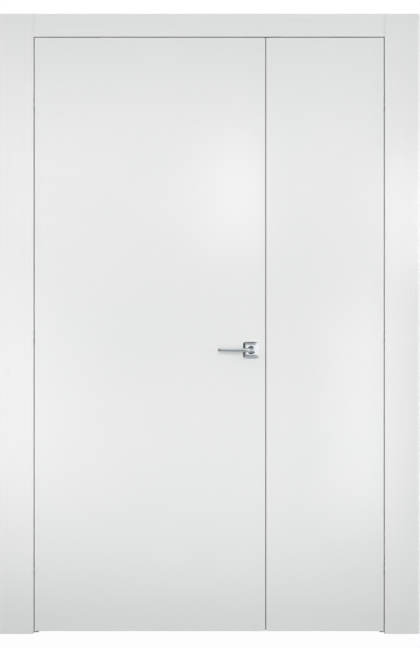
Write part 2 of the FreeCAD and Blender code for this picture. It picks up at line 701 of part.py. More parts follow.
casing(
    "front_casing_head",
    *zip((f"-{HALF}", HALF), (FACE_Y, "0"), (HEAD_Z, CASING_TOP)),
    [(("y-",), "dims.edge_ease")],
    block("front_casing_head_tongue", *zip(
        (f"-{HALF}", HALF), ("0", "dims.tongue_length"), tongue_span(HEAD_Z, "dims.tongue_inset"),
    )),
    [keeper_blank],
)
HEAD_STOP_HALF = f"({HALF} - dims.stop_projection)"
casing(
    "rear_casing_head",
    *zip(
        (f"-{REAR_NEAR}", REAR_NEAR), (WALL_BACK, f"{WALL_BACK} + dims.rear_casing_thickness"),
        (REAR_HEAD_Z, REAR_TOP),
    ),
    [(("y+",), "dims.edge_ease")],
    block("rear_casing_head_tongue", *zip(
        (f"-{HEAD_STOP_HALF}", HEAD_STOP_HALF), (f"{WALL_BACK} - dims.tongue_length", WALL_BACK),
        tongue_span(REAR_HEAD_Z, "dims.rear_tongue_inset"),
    )),
)


# Seals: a half-round bulb on a tongue
def bulb_seal(name, start, heading, length, behind, tongue):
    bulb = carve(f"{name}_bulb", rod(f"{name}_round", start, heading, BULB, length), [behind])
    return fuse(f"{name}_strip", [bulb, tongue])


SEAL_TOP = f"({SEAL_HEAD_Z} - {BULB})"
jamb_seals = []
for seal_side, seal_sign in (("left", -1), ("right", 1)):
    seal_x = f"{seal_sign} * {SEAL_ACROSS}"
    jamb_seals.append(bulb_seal(
        f"jamb_seal_{seal_side}", (seal_x, STOP_Y, "0"), "+z", SEAL_TOP,
        block(f"jamb_seal_{seal_side}_behind", *zip(
            (f"{seal_x} - {BULB}", f"{seal_x} + {BULB}"), (STOP_Y, f"{STOP_Y} + {BULB}"), ("0", SEAL_TOP),
        )),
        block(f"jamb_seal_{seal_side}_tongue", *zip(
            (f"{seal_x} - {GROOVE_HALF_WIDTH}", f"{seal_x} + {GROOVE_HALF_WIDTH}"),
            (STOP_Y, SEAL_GROOVE_BACK), ("0", SEAL_TOP),
        )),
    ))
SEAL_HEAD_HALF = f"({SEAL_ACROSS} + {BULB})"
jamb_seals.append(bulb_seal(
    "jamb_seal_head", (f"-{SEAL_HEAD_HALF}", STOP_Y, SEAL_HEAD_Z), "+x", f"2 * {SEAL_HEAD_HALF}",
    block("jamb_seal_head_behind", *zip(
        (f"-{SEAL_HEAD_HALF}", SEAL_HEAD_HALF), (STOP_Y, f"{STOP_Y} + {BULB}"),
        (f"{SEAL_HEAD_Z} - {BULB}", f"{SEAL_HEAD_Z} + {BULB}"),
    )),
    block("jamb_seal_head_tongue", *zip(
        (f"-{HEAD_STOP_HALF}", HEAD_STOP_HALF), (STOP_Y, SEAL_GROOVE_BACK),
        (f"{SEAL_HEAD_Z} - {GROOVE_HALF_WIDTH}", f"{SEAL_HEAD_Z} + {GROOVE_HALF_WIDTH}"),
    )),
))
group("jamb_seal", jamb_seals)

# Mortise lock in the wide leaf
CASE_FRONT = f"({MAIN_RIGHT} - dims.faceplate_thickness)"
CASE_BACK = f"({CASE_FRONT} - dims.lock_case_depth)"
CASE_LOW = "(dims.handle_height - dims.lock_case_height / 2)"
CASE_HIGH = "(dims.handle_height + dims.lock_case_height / 2)"
CASE_NEAR = f"({MID_Y} - dims.lock_case_thickness / 2)"
CASE_FAR = f"({MID_Y} + dims.lock_case_thickness / 2)"
COVER_NEAR = f"({CASE_FAR} - dims.lock_wall)"
LATCH_TIP = f"({MAIN_RIGHT} - dims.latch_sink)"


def latch_box(name, near_x, far_x, clearance):
    """The latch's cross section, grown by a clearance, between two places along X."""
    half_depth = f"(dims.latch_thickness / 2 + {clearance})"
    half_height = f"(dims.latch_height / 2 + {clearance})"
    return block(name, *zip(
        (near_x, far_x),
        (f"{MID_Y} - {half_depth}", f"{MID_Y} + {half_depth}"),
        (f"{LATCH_Z} - {half_height}", f"{LATCH_Z} + {half_height}"),
    ))


lock_mortise = block("lock_mortise", *zip(
    (f"{CASE_BACK} - dims.lock_fit", CASE_FRONT),
    (f"{CASE_NEAR} - dims.lock_fit", f"{CASE_FAR} + dims.lock_fit"),
    (f"{CASE_LOW} - dims.lock_fit", f"{CASE_HIGH} + dims.lock_fit"),
))
spindle_hole = rod(
    "spindle_hole", (HANDLE_X, FACE_Y, "dims.handle_height"), "+y",
    "dims.spindle_hole / 2", "dims.leaf_thickness",
)
bolt_holes = [
    rod(
        "rose_bolt_hole", (f"{HANDLE_X} {sign} dims.rose_bolt_offset", FACE_Y, "dims.handle_height"), "+y",
        "dims.rose_bolt / 2 + dims.rose_bolt_fit", "dims.leaf_thickness",
    )
    for sign in "+-"
]


def lock():
    along, tall = (CASE_BACK, CASE_FRONT), (CASE_LOW, CASE_HIGH)
    case = block("lock_case_block", *zip(along, (CASE_NEAR, COVER_NEAR), tall))
    hollow = block("lock_case_hollow", *zip(
        (f"{CASE_BACK} + dims.lock_wall", f"{CASE_FRONT} - dims.lock_wall"),
        (f"{CASE_NEAR} + dims.lock_wall", COVER_NEAR),
        (f"{CASE_LOW} + dims.lock_wall", f"{CASE_HIGH} - dims.lock_wall"),
    ))
    cover = block("lock_cover_plate", *zip(along, (COVER_NEAR, CASE_FAR), tall))
    journal_hole = rod(
        "follower_hole", (HANDLE_X, CASE_NEAR, "dims.handle_height"), "+y",
        "dims.follower_journal / 2 + dims.follower_fit", "dims.lock_case_thickness",
    )
    latch_way = latch_box("latch_way", f"{CASE_FRONT} - dims.lock_wall", MAIN_RIGHT, "dims.latch_clearance")
    node("lock_case", carve("lock_case_cut", case, [hollow, journal_hole, latch_way, *bolt_holes]))
    node("lock_cover", carve("lock_cover_cut", cover, [journal_hole, *bolt_holes]))
    hub_start = f"{CASE_NEAR} + dims.lock_wall + dims.latch_clearance"
    hub = rod(
        "follower_hub", (HANDLE_X, hub_start, "dims.handle_height"), "+y", "dims.follower_hub / 2",
        "dims.lock_case_thickness - 2 * dims.lock_wall - 2 * dims.latch_clearance",
    )
    journal = rod(
        "follower_journal", (HANDLE_X, CASE_NEAR, "dims.handle_height"), "+y", "dims.follower_journal / 2",
        "dims.lock_case_thickness",
    )
    square = spindle_bar("follower_square", CASE_NEAR, CASE_FAR, "dims.spindle_fit")
    node("lock_follower", carve("follower_cut", fuse("follower_raw", [hub, journal]), [square]))
    node("latch_bolt", latch_box("latch_bolt_bar", f"{LATCH_TIP} - dims.latch_length", LATCH_TIP, "0"))
    return latch_way


def spindle_bar(name, near_y, far_y, clearance):
    half = f"(dims.spindle_side / 2 + {clearance})"
    return block(name, *zip(
        (f"{HANDLE_X} - {half}", f"{HANDLE_X} + {half}"), (near_y, far_y),
        (f"dims.handle_height - {half}", f"dims.handle_height + {half}"),
    ))


def edge_plate(name, face_x, heading, mid_z, length, thickness, fixing, openings, screws, cuts):
    """A round-ended plate let into a leaf's edge. fixing is its two screws' offset and length."""
    blank = stadium(f"{name}_blank", face_x, heading, MID_Y, mid_z, thickness, "dims.faceplate_width", length)
    offset, screw_length = fixing
    holes = []
    for sign in "+-":
        start = (face_x, MID_Y, f"{mid_z} {sign} {offset}")
        fastener, hole = screw_and_hole(f"{name}_screw", start, heading, screw_length)
        screws.append(fastener)
        holes.append(hole)
    cuts += [blank, *holes]
    return carve(f"{name}_cut", blank, [*openings, *holes])


latch_opening = lock()
main_screws = list(main_hinges.leaf_screws)
lock_cuts = [lock_mortise]
node("lock_faceplate", edge_plate(
    "lock_faceplate", MAIN_RIGHT, "-x", "dims.handle_height",
    "dims.faceplate_length", "dims.faceplate_thickness",
    ("dims.faceplate_screw_offset", "dims.screw_length"), [latch_opening], main_screws, lock_cuts,
))
group("main_leaf_screws", main_screws)

# Hardware in the narrow leaf's meeting edge
narrow_screws = list(narrow_hinges.leaf_screws)
meeting_cuts = []
strike_opening = latch_box(
    "strike_opening", NARROW_LEFT,
    f"{NARROW_LEFT} + dims.latch_throw + dims.strike_pocket_spare", "dims.strike_clearance",
)
STRIKE_POCKET_END = f"({NARROW_LEFT} + dims.latch_throw + dims.strike_pocket_spare)"
strike_magnet = latch_box(
    "strike_magnet_block", STRIKE_POCKET_END, f"{STRIKE_POCKET_END} + dims.strike_magnet_thickness",
    "dims.strike_clearance",
)
node("strike_magnet", strike_magnet)
meeting_cuts += [strike_opening, strike_magnet]
node("strike_plate", edge_plate(
    "strike_plate", NARROW_LEFT, "+x", LATCH_Z, "dims.strike_length", "dims.strike_thickness",
    ("dims.strike_screw_offset", "dims.screw_length"), [strike_opening], narrow_screws, meeting_cuts,
))

SLIDER_HALF = "dims.flush_slider_height / 2"
CHANNEL_BACK = f"{BOLT_X} + dims.flush_channel_width / 2"


def flush_bolt(name, mid_z, end_z, heading):
    """A sliding bolt: a rod to the leaf's end, with a thumb slider in a slotted plate."""
    sign = "+" if heading == "+z" else "-"
    travel_end = f"{mid_z} {sign} (dims.flush_bolt_throw + dims.flush_bolt_clearance)"
    slot_low, slot_high = (mid_z, travel_end) if sign == "+" else (travel_end, mid_z)
    gap = "dims.flush_bolt_clearance"
    slot = block(f"{name}_slot", *zip(
        (NARROW_LEFT, f"{NARROW_LEFT} + dims.faceplate_thickness"),
        (f"{MID_Y} - dims.flush_slider_width / 2 - {gap}", f"{MID_Y} + dims.flush_slider_width / 2 + {gap}"),
        (f"{slot_low} - {SLIDER_HALF} - {gap}", f"{slot_high} + {SLIDER_HALF} + {gap}"),
    ))
    channel_end = f"({SLIDER_HALF} + dims.flush_channel_spare)"
    channel = block(f"{name}_channel", *zip(
        (NARROW_LEFT, CHANNEL_BACK),
        (f"{MID_Y} - dims.flush_channel_width / 2", f"{MID_Y} + dims.flush_channel_width / 2"),
        (f"{slot_low} - {channel_end}", f"{slot_high} + {channel_end}"),
    ))
    reach = f"({end_z} - {mid_z})" if sign == "+" else f"({mid_z} - {end_z})"
    bore = rod(f"{name}_bore", (BOLT_X, MID_Y, mid_z), heading, f"dims.flush_bolt_rod / 2 + {gap}", reach)
    stem = rod(
        f"{name}_stem", (BOLT_X, MID_Y, mid_z), heading,
        "dims.flush_bolt_rod / 2", f"{reach} - dims.flush_bolt_sink",
    )
    slider = block(f"{name}_slider", *zip(
        (f"{NARROW_LEFT} + dims.flush_bolt_sink", f"{BOLT_X} + dims.flush_bolt_rod / 2"),
        (f"{MID_Y} - dims.flush_slider_width / 2", f"{MID_Y} + dims.flush_slider_width / 2"),
        (f"{mid_z} - {SLIDER_HALF}", f"{mid_z} + {SLIDER_HALF}"),
    ))
    node(name, fuse(f"{name}_bar", [stem, slider]))
    meeting_cuts.extend([channel, bore])
    return edge_plate(
        f"{name}_plate", NARROW_LEFT, "+x", mid_z, "dims.flush_plate_length", "dims.faceplate_thickness",
        ("dims.flush_plate_screw_offset", "dims.flush_plate_screw_length"),
        [slot], narrow_screws, meeting_cuts,
    )


group("flush_bolt_plates", [
    flush_bolt("top_flush_bolt", f"({LEAF_TOP} - dims.flush_plate_offset)", LEAF_TOP, "+z"),
    flush_bolt("bottom_flush_bolt", "(dims.floor_gap + dims.flush_plate_offset)", "dims.floor_gap", "-z"),
])
group("narrow_leaf_screws", narrow_screws)

SEAL_Y = f"({BACK_Y} - dims.meeting_seal_inset)"
meeting_tongue = block("meeting_seal_tongue", *zip(
    (NARROW_LEFT, f"{NARROW_LEFT} + dims.seal_tongue_length"),
    (f"{SEAL_Y} - {GROOVE_HALF_WIDTH}", f"{SEAL_Y} + {GROOVE_HALF_WIDTH}"), ("dims.floor_gap", LEAF_TOP),
))
meeting_behind = block("meeting_seal_behind", *zip(
    (NARROW_LEFT, f"{NARROW_LEFT} + {BULB}"), (f"{SEAL_Y} - {BULB}", f"{SEAL_Y} + {BULB}"),
    ("dims.floor_gap", LEAF_TOP),
))
node("meeting_seal", bulb_seal(
    "meeting_seal", (NARROW_LEFT, SEAL_Y, "dims.floor_gap"), "+z", "dims.leaf_height",
    meeting_behind, meeting_tongue,
))
meeting_cuts.append(meeting_tongue)


# Leaves: two skins on a timber frame round a tubular core
def tube_core(name, low, high):
    """A core board with a row of upright tubes, spread evenly over its width."""
    width = f"({high[0]} - {low[0]})"
    body = board(name, low, high)
    depth = f"({high[1]} - {low[1]})"
    count = f"(floor(({width} - dims.core_tube - 2 * dims.core_margin) / dims.core_pitch) + 1)"
    run = f"(({count} - 1) * dims.core_pitch)"
    tube = body.newObject("PartDesign::SubtractiveCylinder", f"{name}_tube")
    bind(tube, Radius="dims.core_tube / 2", Height=f"{high[2]} - {low[2]}")
    locate(tube, (f"({width} - {run}) / 2", f"{depth} / 2", "0"))
    doc.recompute()
    row = body.newObject("PartDesign::LinearPattern", f"{name}_tubes")
    row.Originals = [tube]
    row.Direction = (next(f for f in body.Origin.OriginFeatures if f.Role == "X_Axis"), [""])
    bind(row, Length=run, Occurrences=count)
    body.Tip = row
    return body


def shaped(label, piece, cuts):
    node(label, carve(f"{label}_cut", piece, cuts) if cuts else piece)


def leaf(
    prefix, left, right, hinge_on_left, free_stile, hinge_cuts, free_cuts, handle_cuts=(), block_cuts=(),
):
    low_z, high_z = "dims.floor_gap", LEAF_TOP
    depth = (CORE_FRONT, CORE_BACK)
    inner_left, inner_right = f"({left} + dims.stile_width)", f"({right} - dims.stile_width)"
    skin_name = f"{prefix}_front_skin"
    front = board(
        f"{skin_name}_board", *zip((left, right), (FACE_Y, CORE_FRONT), (low_z, high_z)),
        (("y-",), "dims.edge_ease"),
    )
    rear = board(
        f"{prefix}_rear_skin_board", *zip((left, right), (CORE_BACK, BACK_Y), (low_z, high_z)),
        (("y+",), "dims.edge_ease"),
    )
    shaped(skin_name, front, list(handle_cuts))
    shaped(f"{prefix}_rear_skin", rear, list(handle_cuts))
    left_stile = block(f"{prefix}_left_stile", *zip((left, inner_left), depth, (low_z, high_z)))
    right_stile = block(f"{prefix}_right_stile", *zip((inner_right, right), depth, (low_z, high_z)))
    hinge_piece, free_piece = (left_stile, right_stile) if hinge_on_left else (right_stile, left_stile)
    shaped(f"{prefix}_hinge_stile", hinge_piece, hinge_cuts)
    shaped(free_stile, free_piece, [*free_cuts, *handle_cuts])
    rail_top, rail_bottom = f"({high_z} - dims.top_rail_height)", f"({low_z} + dims.bottom_rail_height)"
    across = (inner_left, inner_right)
    node(f"{prefix}_top_rail", block(f"{prefix}_top_rail_bar", *zip(across, depth, (rail_top, high_z))))
    low_bar = block(f"{prefix}_bottom_rail_bar", *zip(across, depth, (low_z, rail_bottom)))
    node(f"{prefix}_bottom_rail", low_bar)
    core = tube_core(f"{prefix}_core_board", *zip(across, depth, (rail_bottom, rail_top)))
    shaped(f"{prefix}_core", core, list(block_cuts))


lock_block = block("lock_block_blank", *zip(
    (f"{MAIN_RIGHT} - dims.stile_width - dims.lock_block_width", f"{MAIN_RIGHT} - dims.stile_width"),
    (CORE_FRONT, CORE_BACK),
    ("dims.handle_height - dims.lock_block_height / 2", "dims.handle_height + dims.lock_block_height / 2"),
))
handle_holes = [spindle_hole, *bolt_holes]
shaped("main_lock_block", lock_block, [lock_mortise, *handle_holes])
leaf(
    "main", MAIN_LEFT, MAIN_RIGHT, True, "main_lock_stile",
    main_hinges.leaf_mortises, lock_cuts, handle_holes, [lock_block],
)
leaf(
    "narrow", NARROW_LEFT, NARROW_RIGHT, False, "narrow_meeting_stile",
    narrow_hinges.leaf_mortises, meeting_cuts,
)

# Handle set: roses, levers and spindle
HANDLE_FACES = (("front", FACE_Y, "-y", "-"), ("rear", BACK_Y, "+y", "+"))


def rose_blank(name, side, depth, corner):
    body = doc.addObject("PartDesign::Body", name)
    plate = body.newObject("PartDesign::AdditiveBox", f"{name}_plate")
    bind(plate, Length=side, Width=side, Height=depth)
    locate(plate, (f"-{side} / 2", f"-{side} / 2", "0"))
    doc.recompute()
    upright = [
        f"Edge{i}" for i, edge in enumerate(plate.Shape.Edges, 1)
        if abs(edge.tangentAt(edge.FirstParameter).z) > 0.5
    ]
    corners = body.newObject("PartDesign::Fillet", f"{name}_corners")
    corners.Base = (plate, upright)
    corners.setExpression("Radius", corner)
    return body


def drill(body, name, radius, depth, x="0"):
    hole = body.newObject("PartDesign::SubtractiveCylinder", name)
    bind(hole, Radius=radius, Height=depth)
    return locate(hole, (x, "0", "0"))


def rose_cover(side, face_y, heading):
    """A square cap with soft edges, open at the back, with a hole for the lever's neck."""
    name = f"rose_cover_{side}"
    body = rose_blank(f"{name}_cap", "dims.rose_side", "dims.rose_depth", "dims.rose_corner")
    round_edges(body, ("z+",), "dims.rose_edge_round")
    doc.recompute()
    base = body.Tip
    floor = next(f"Face{i}" for i, f in enumerate(base.Shape.Faces, 1) if f.normalAt(0, 0).z < -0.5)
    shell = body.newObject("PartDesign::Thickness", f"{name}_shell")
    shell.Base = (base, [floor])
    shell.Reversed = True
    shell.setExpression("Value", "dims.rose_wall")
    drill(body, f"{name}_hole", "dims.neck_diameter / 2 + dims.neck_clearance", "dims.rose_depth")
    node(name, locate(body, (HANDLE_X, face_y, "dims.handle_height"), heading))


def rose_base(side, face_y, heading):
    """The plate under a rose cover: the lever's bearing, held by two through bolts."""
    name = f"rose_base_{side}"
    width = "(dims.rose_side - 2 * dims.rose_base_margin)"
    body = rose_blank(f"{name}_plate_body", width, "dims.rose_base_depth", "dims.rose_corner")
    drill(body, f"{name}_bearing", "dims.journal_diameter / 2 + dims.journal_fit", "dims.rose_base_depth")
    for sign in ("", "-"):
        aside = f"{sign}dims.rose_bolt_offset"
        drill(body, f"{name}_bolt_hole", "dims.rose_bolt / 2", "dims.rose_base_depth", aside)
        seat = drill(
            body, f"{name}_bolt_seat", "dims.rose_bolt_head / 2", "dims.rose_bolt_head_height", aside,
        )
        seat.setExpression("Placement.Base.z", "dims.rose_base_depth - dims.rose_bolt_head_height")
    node(name, locate(body, (HANDLE_X, face_y, "dims.handle_height"), heading))


rose_bolts = []
for bolt_sign in "+-":
    bolt_x = f"{HANDLE_X} {bolt_sign} dims.rose_bolt_offset"
    bolt_start = (bolt_x, f"{FACE_Y} - dims.rose_base_depth", "dims.handle_height")
    bolt_length = "dims.leaf_thickness + 2 * dims.rose_base_depth"
    bolt_end = (bolt_x, f"{BACK_Y} + dims.rose_base_depth - dims.rose_bolt_head_height", "dims.handle_height")
    rose_bolts.append(fuse("rose_bolt", [
        rod("rose_bolt_shank", bolt_start, "+y", "dims.rose_bolt / 2", bolt_length),
        rod("rose_bolt_head", bolt_start, "+y", "dims.rose_bolt_head / 2", "dims.rose_bolt_head_height"),
        rod("rose_bolt_nut", bolt_end, "+y", "dims.rose_bolt_head / 2", "dims.rose_bolt_head_height"),
    ]))
group("rose_bolts", rose_bolts)
for rose_side, rose_face, rose_heading, _ in HANDLE_FACES:
    rose_base(rose_side, rose_face, rose_heading)
    rose_cover(rose_side, rose_face, rose_heading)

node("spindle", spindle_bar(
    "spindle_bar", f"{FACE_Y} - dims.spindle_reach", f"{BACK_Y} + dims.spindle_reach", "0",
))

LEVER_Y = f"({FACE_Y} - dims.lever_projection)"
SHOULDER_OUT = "(dims.rose_base_depth + dims.lever_seat)"
GRUB_Y = f"({FACE_Y} - dims.grub_screw_out)"
SPINDLE_HALF = "dims.spindle_side / 2"


def lever_section(name, along, height, depth):
    """An upright oval across the lever's bar, at a distance from the handle's axis."""
    oval = bind(doc.addObject("Part::Ellipse", name), MajorRadius=f"{height} / 2", MinorRadius=f"{depth} / 2")
    return locate(oval, (f"{HANDLE_X} - ({along})", LEVER_Y, "dims.handle_height"), "+x")


def lever_bar():
    """A slim bar that flares into the hub and rounds off at its tip."""
    tip = "(dims.lever_length - dims.lever_tip_round)"
    sections = [
        ("0", "(dims.neck_diameter - 1)", "(2 * dims.lever_hub_half_depth - 1)"),
        ("dims.lever_root_length / 2", "(dims.lever_root_height + 2)", "(dims.lever_root_depth + 0.5)"),
        ("dims.lever_root_length", "dims.lever_root_height", "dims.lever_root_depth"),
        (tip, "dims.lever_tip_height", "dims.lever_tip_depth"),
        (f"{tip} + dims.lever_tip_round * 0.6", "dims.lever_tip_height * 0.8", "dims.lever_tip_depth * 0.8"),
        ("dims.lever_length", "dims.lever_tip_height * 0.3", "dims.lever_tip_depth * 0.3"),
    ]
    bar = doc.addObject("Part::Loft", "lever_bar")
    bar.Sections = [lever_section(f"lever_section_{i}", *section) for i, section in enumerate(sections)]
    bar.Solid = True
    return bar


def levers():
    axis_z = "dims.handle_height"
    journal = rod(
        "lever_journal", (HANDLE_X, f"{FACE_Y} - dims.lever_seat", axis_z), "-y", "dims.journal_diameter / 2",
        SHOULDER_OUT,
    )
    neck = rod(
        "lever_neck", (HANDLE_X, f"{FACE_Y} - {SHOULDER_OUT}", axis_z), "-y", "dims.neck_diameter / 2",
        f"dims.lever_projection - {SHOULDER_OUT}",
    )
    dome = bind(
        doc.addObject("Part::Ellipsoid", "lever_dome"),
        Radius1="dims.lever_hub_half_depth",
        Radius2="dims.neck_diameter / 2",
        Radius3="dims.neck_diameter / 2",
    )
    locate(dome, (HANDLE_X, LEVER_Y, axis_z), "-y")
    whole = fuse("lever_raw", [journal, neck, dome, lever_bar()])
    square = spindle_bar(
        "lever_square", f"{FACE_Y} - dims.spindle_reach - dims.lever_seat", FACE_Y, "dims.spindle_fit",
    )
    grub_start = (HANDLE_X, GRUB_Y, f"{axis_z} - dims.neck_diameter / 2")
    grub_length = f"dims.neck_diameter / 2 - {SPINDLE_HALF}"
    grub_bore = rod("grub_bore", grub_start, "+z", "dims.grub_screw / 2", grub_length)
    front = node("lever_front", carve("lever_cut", whole, [square, grub_bore]))
    sunk_start = (HANDLE_X, GRUB_Y, f"{axis_z} - dims.neck_diameter / 2 + dims.lever_seat")
    sunk_length = f"{grub_length} - dims.lever_seat"
    grub = rod("grub_screw_front", sunk_start, "+z", "dims.grub_screw / 2", sunk_length)
    node("lever_rear", across_leaf("lever_mirror", front))
    group("lever_grub_screws", [grub, across_leaf("grub_screw_rear", grub)])


def across_leaf(name, piece):
    """The same piece on the other face of the leaf."""
    mirror = doc.addObject("Part::Mirroring", name)
    mirror.Source = piece
    mirror.Normal = FreeCAD.Vector(0, 1, 0)
    mirror.setExpression("Base.y", MID_Y)
    return mirror


levers()


def check_and_write():
    """Stop on any failed object or faulty shape, then write each node to its own file."""
    doc.recompute()
    for piece in doc.Objects:
        if "Invalid" in piece.State or "Error" in piece.State:
            raise RuntimeError(f"{piece.Label} failed: {piece.State}")
    for piece in nodes:
        shape = piece.Shape
        if shape.isNull() or not shape.isValid() or not shape.Solids:
            raise RuntimeError(f"{piece.Label} has no valid solid")
    os.makedirs("parts", exist_ok=True)
    for piece in nodes:
        piece.Shape.exportStep(os.path.join("parts", f"{piece.Label}.step"))
    print(len(nodes), "nodes,", sum(len(piece.Shape.Solids) for piece in nodes), "solids")


check_and_write()
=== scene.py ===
"""Looks of an interior double door set: white lacquered boards, chrome levers and plated ironwork."""

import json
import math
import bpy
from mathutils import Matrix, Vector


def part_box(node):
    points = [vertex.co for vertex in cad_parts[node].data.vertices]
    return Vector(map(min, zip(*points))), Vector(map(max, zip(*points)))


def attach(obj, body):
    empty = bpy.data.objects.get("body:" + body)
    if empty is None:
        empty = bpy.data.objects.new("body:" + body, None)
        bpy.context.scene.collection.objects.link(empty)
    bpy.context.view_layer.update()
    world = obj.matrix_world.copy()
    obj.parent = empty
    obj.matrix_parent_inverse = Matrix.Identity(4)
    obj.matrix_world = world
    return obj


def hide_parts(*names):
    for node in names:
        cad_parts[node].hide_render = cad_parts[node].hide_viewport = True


bl_info = {
    "name": "Double door set",
    "version": (1, 0, 0),
    "blender": (4, 5, 0),
    "location": "3D View > Sidebar > Door",
    "description": "Finishes the boards and ironwork of a double door set and lights it",
    "category": "Object",
}

import bmesh
import bpy
from mathutils import Matrix, Vector

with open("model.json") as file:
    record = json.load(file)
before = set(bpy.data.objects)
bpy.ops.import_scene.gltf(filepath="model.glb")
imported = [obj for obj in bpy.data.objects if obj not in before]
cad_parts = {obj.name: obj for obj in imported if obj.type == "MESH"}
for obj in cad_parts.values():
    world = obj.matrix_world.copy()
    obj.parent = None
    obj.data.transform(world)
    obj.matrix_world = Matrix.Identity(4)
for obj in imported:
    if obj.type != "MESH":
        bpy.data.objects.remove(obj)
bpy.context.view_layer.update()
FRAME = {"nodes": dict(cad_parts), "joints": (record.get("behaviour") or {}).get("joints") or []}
NODES = FRAME["nodes"]
MM = 0.001
TURN = 2 * math.pi
WHITE = "#ffffff"
# Vertices closer than this, in metres, are one vertex
MERGE = 1e-6
JOINTS = {joint["name"]: joint for joint in FRAME["joints"]}
HANDLE_AXIS = Vector(JOINTS["lever_turn"]["pos_m"])
LEAF_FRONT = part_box("main_front_skin")[0].y
LEAF_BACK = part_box("main_rear_skin")[1].y
# Each face of the wide leaf: its name, where its surface is, and which way is out of it
FACES = (("front", LEAF_FRONT, -1.0), ("rear", LEAF_BACK, 1.0))
# The lower right corner of the head casing, on the wall face, and how far the shade painted on its joint
# line fades
HEAD_JOINT = Vector((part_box("front_casing_head")[1].x, 0.0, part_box("front_casing_head")[0].z))
JOINT_FADE = 7 * MM
# The picture's height in pixels, and the size of a pixel at the leaf's face
PICTURE_HEIGHT = 648
PIXEL = 3.53 * MM


def colour(code):
    """An sRGB hex value as linear red, green, blue and alpha."""
    channels = [int(code[i:i + 2], 16) / 255 for i in (1, 3, 5)]
    linear = [c / 12.92 if c <= 0.04045 else ((c + 0.055) / 1.055) ** 2.4 for c in channels]
    return (*linear, 1.0)


def per_metre(millimetres):
    """How often a pattern of this size comes back in a metre, which is a texture's scale."""
    return 1 / (millimetres * MM)


def add(tree, kind, inputs=None, **settings):
    """Add a node with its settings. An input is a value, or a socket to link from."""
    node = tree.nodes.new(kind)
    for name, value in settings.items():
        setattr(node, name, value)
    for key, value in (inputs or {}).items():
        if isinstance(value, bpy.types.NodeSocket):
            tree.links.new(value, node.inputs[key])
        else:
            node.inputs[key].default_value = value
    return node


def new_material(name):
    """An empty material and its node tree."""
    material = bpy.data.materials.new(name)
    material.use_nodes = True
    material.node_tree.nodes.clear()
    return material, material.node_tree


def surface(tree, inputs):
    """The shader and output at the end of every finish."""
    shader = add(tree, "ShaderNodeBsdfPrincipled", inputs)
    add(tree, "ShaderNodeOutputMaterial", {"Surface": shader.outputs["BSDF"]})


def painted_joint_shade(tree, place, corner, fade):
    """1 on the joints beside the head board, where shade is painted, falling to 0 at the fade."""
    parts = add(tree, "ShaderNodeSeparateXYZ", {"Vector": place}).outputs
    side = add(tree, "ShaderNodeMath", {0: parts["X"]}, operation="ABSOLUTE")
    past = add(tree, "ShaderNodeMath", {0: side.outputs["Value"], 1: corner.x}, operation="SUBTRACT")
    away = add(tree, "ShaderNodeMath", {0: past.outputs["Value"]}, operation="ABSOLUTE")
    near = add(
        tree, "ShaderNodeMapRange", {"Value": away.outputs["Value"], "From Min": fade, "From Max": 0.0},
        interpolation_type="SMOOTHSTEP",
    )
    above = add(tree, "ShaderNodeMath", {0: parts["Z"], 1: corner.z}, operation="GREATER_THAN")
    front = add(tree, "ShaderNodeMath", {0: parts["Y"], 1: corner.y}, operation="LESS_THAN")
    beside = add(
        tree, "ShaderNodeMath", {0: above.outputs["Value"], 1: front.outputs["Value"]},
        operation="MULTIPLY",
    )
    shade_share = add(
        tree, "ShaderNodeMath", {0: near.outputs["Result"], 1: beside.outputs["Value"]},
        operation="MULTIPLY",
    )
    return shade_share.outputs["Value"]


def lacquered_board(name, tone, shade, grain, pores, shade_line_tone=None):
    """Satin white lacquer. The grain of the board, whose sizes are in millimetres, telegraphs through as
    faint streaks and pores. With a joint tone, a soft darker line of painted shade runs along the joints
    beside the head board."""
    material, tree = new_material(name)
    place = add(tree, "ShaderNodeTexCoord").outputs["Object"]
    stretched = add(
        tree, "ShaderNodeMapping", {"Vector": place, "Scale": [per_metre(size) for size in grain]},
    )
    streaks = add(
        tree, "ShaderNodeTexNoise",
        {"Vector": stretched.outputs["Vector"], "Scale": 1.0, "Detail": 4.0, "Roughness": 0.65},
    )
    # The spray gun's passes leave clouds some 400 mm across
    drift = add(tree, "ShaderNodeTexNoise", {"Vector": place, "Scale": per_metre(400), "Detail": 2.0})
    both = add(
        tree, "ShaderNodeMath", {0: streaks.outputs["Fac"], 1: drift.outputs["Fac"]}, operation="ADD",
    )
    share = add(
        tree, "ShaderNodeMapRange",
        {"Value": both.outputs["Value"], "From Min": 0.7, "From Max": 1.3, "To Min": 0.0, "To Max": 1.0},
    )
    tint = add(
        tree, "ShaderNodeMix", {"Factor": share.outputs["Result"], 6: colour(shade), 7: colour(tone)},
        data_type="RGBA",
    )
    # A soft line of painted shade along the joints beside the head board
    if shade_line_tone:
        shade_share = painted_joint_shade(tree, place, HEAD_JOINT, JOINT_FADE)
        tint = add(
            tree, "ShaderNodeMix", {"Factor": shade_share, 6: tint.outputs[2], 7: colour(shade_line_tone)},
            data_type="RGBA",
        )
    gloss = add(
        tree, "ShaderNodeMapRange",
        {
            "Value": streaks.outputs["Fac"], "From Min": 0.3, "From Max": 0.7,
            "To Min": 0.36, "To Max": 0.46,
        },
    )
    # Sprayed lacquer dries to a fine orange peel
    peel = add(tree, "ShaderNodeTexNoise", {"Vector": place, "Scale": per_metre(2.2), "Detail": 1.0})
    depth = add(
        tree, "ShaderNodeMix",
        {"Factor": pores, 2: peel.outputs["Fac"], 3: streaks.outputs["Fac"]}, data_type="FLOAT",
    )
    relief = add(
        tree, "ShaderNodeBump", {"Strength": 0.12, "Distance": 0.4 * MM, "Height": depth.outputs[0]},
    )
    surface(tree, {
        "Base Color": tint.outputs[2], "Roughness": gloss.outputs["Result"],
        "Normal": relief.outputs["Normal"], "IOR": 1.5, "Coat Weight": 0.15, "Coat Roughness": 0.25,
    })
    return material


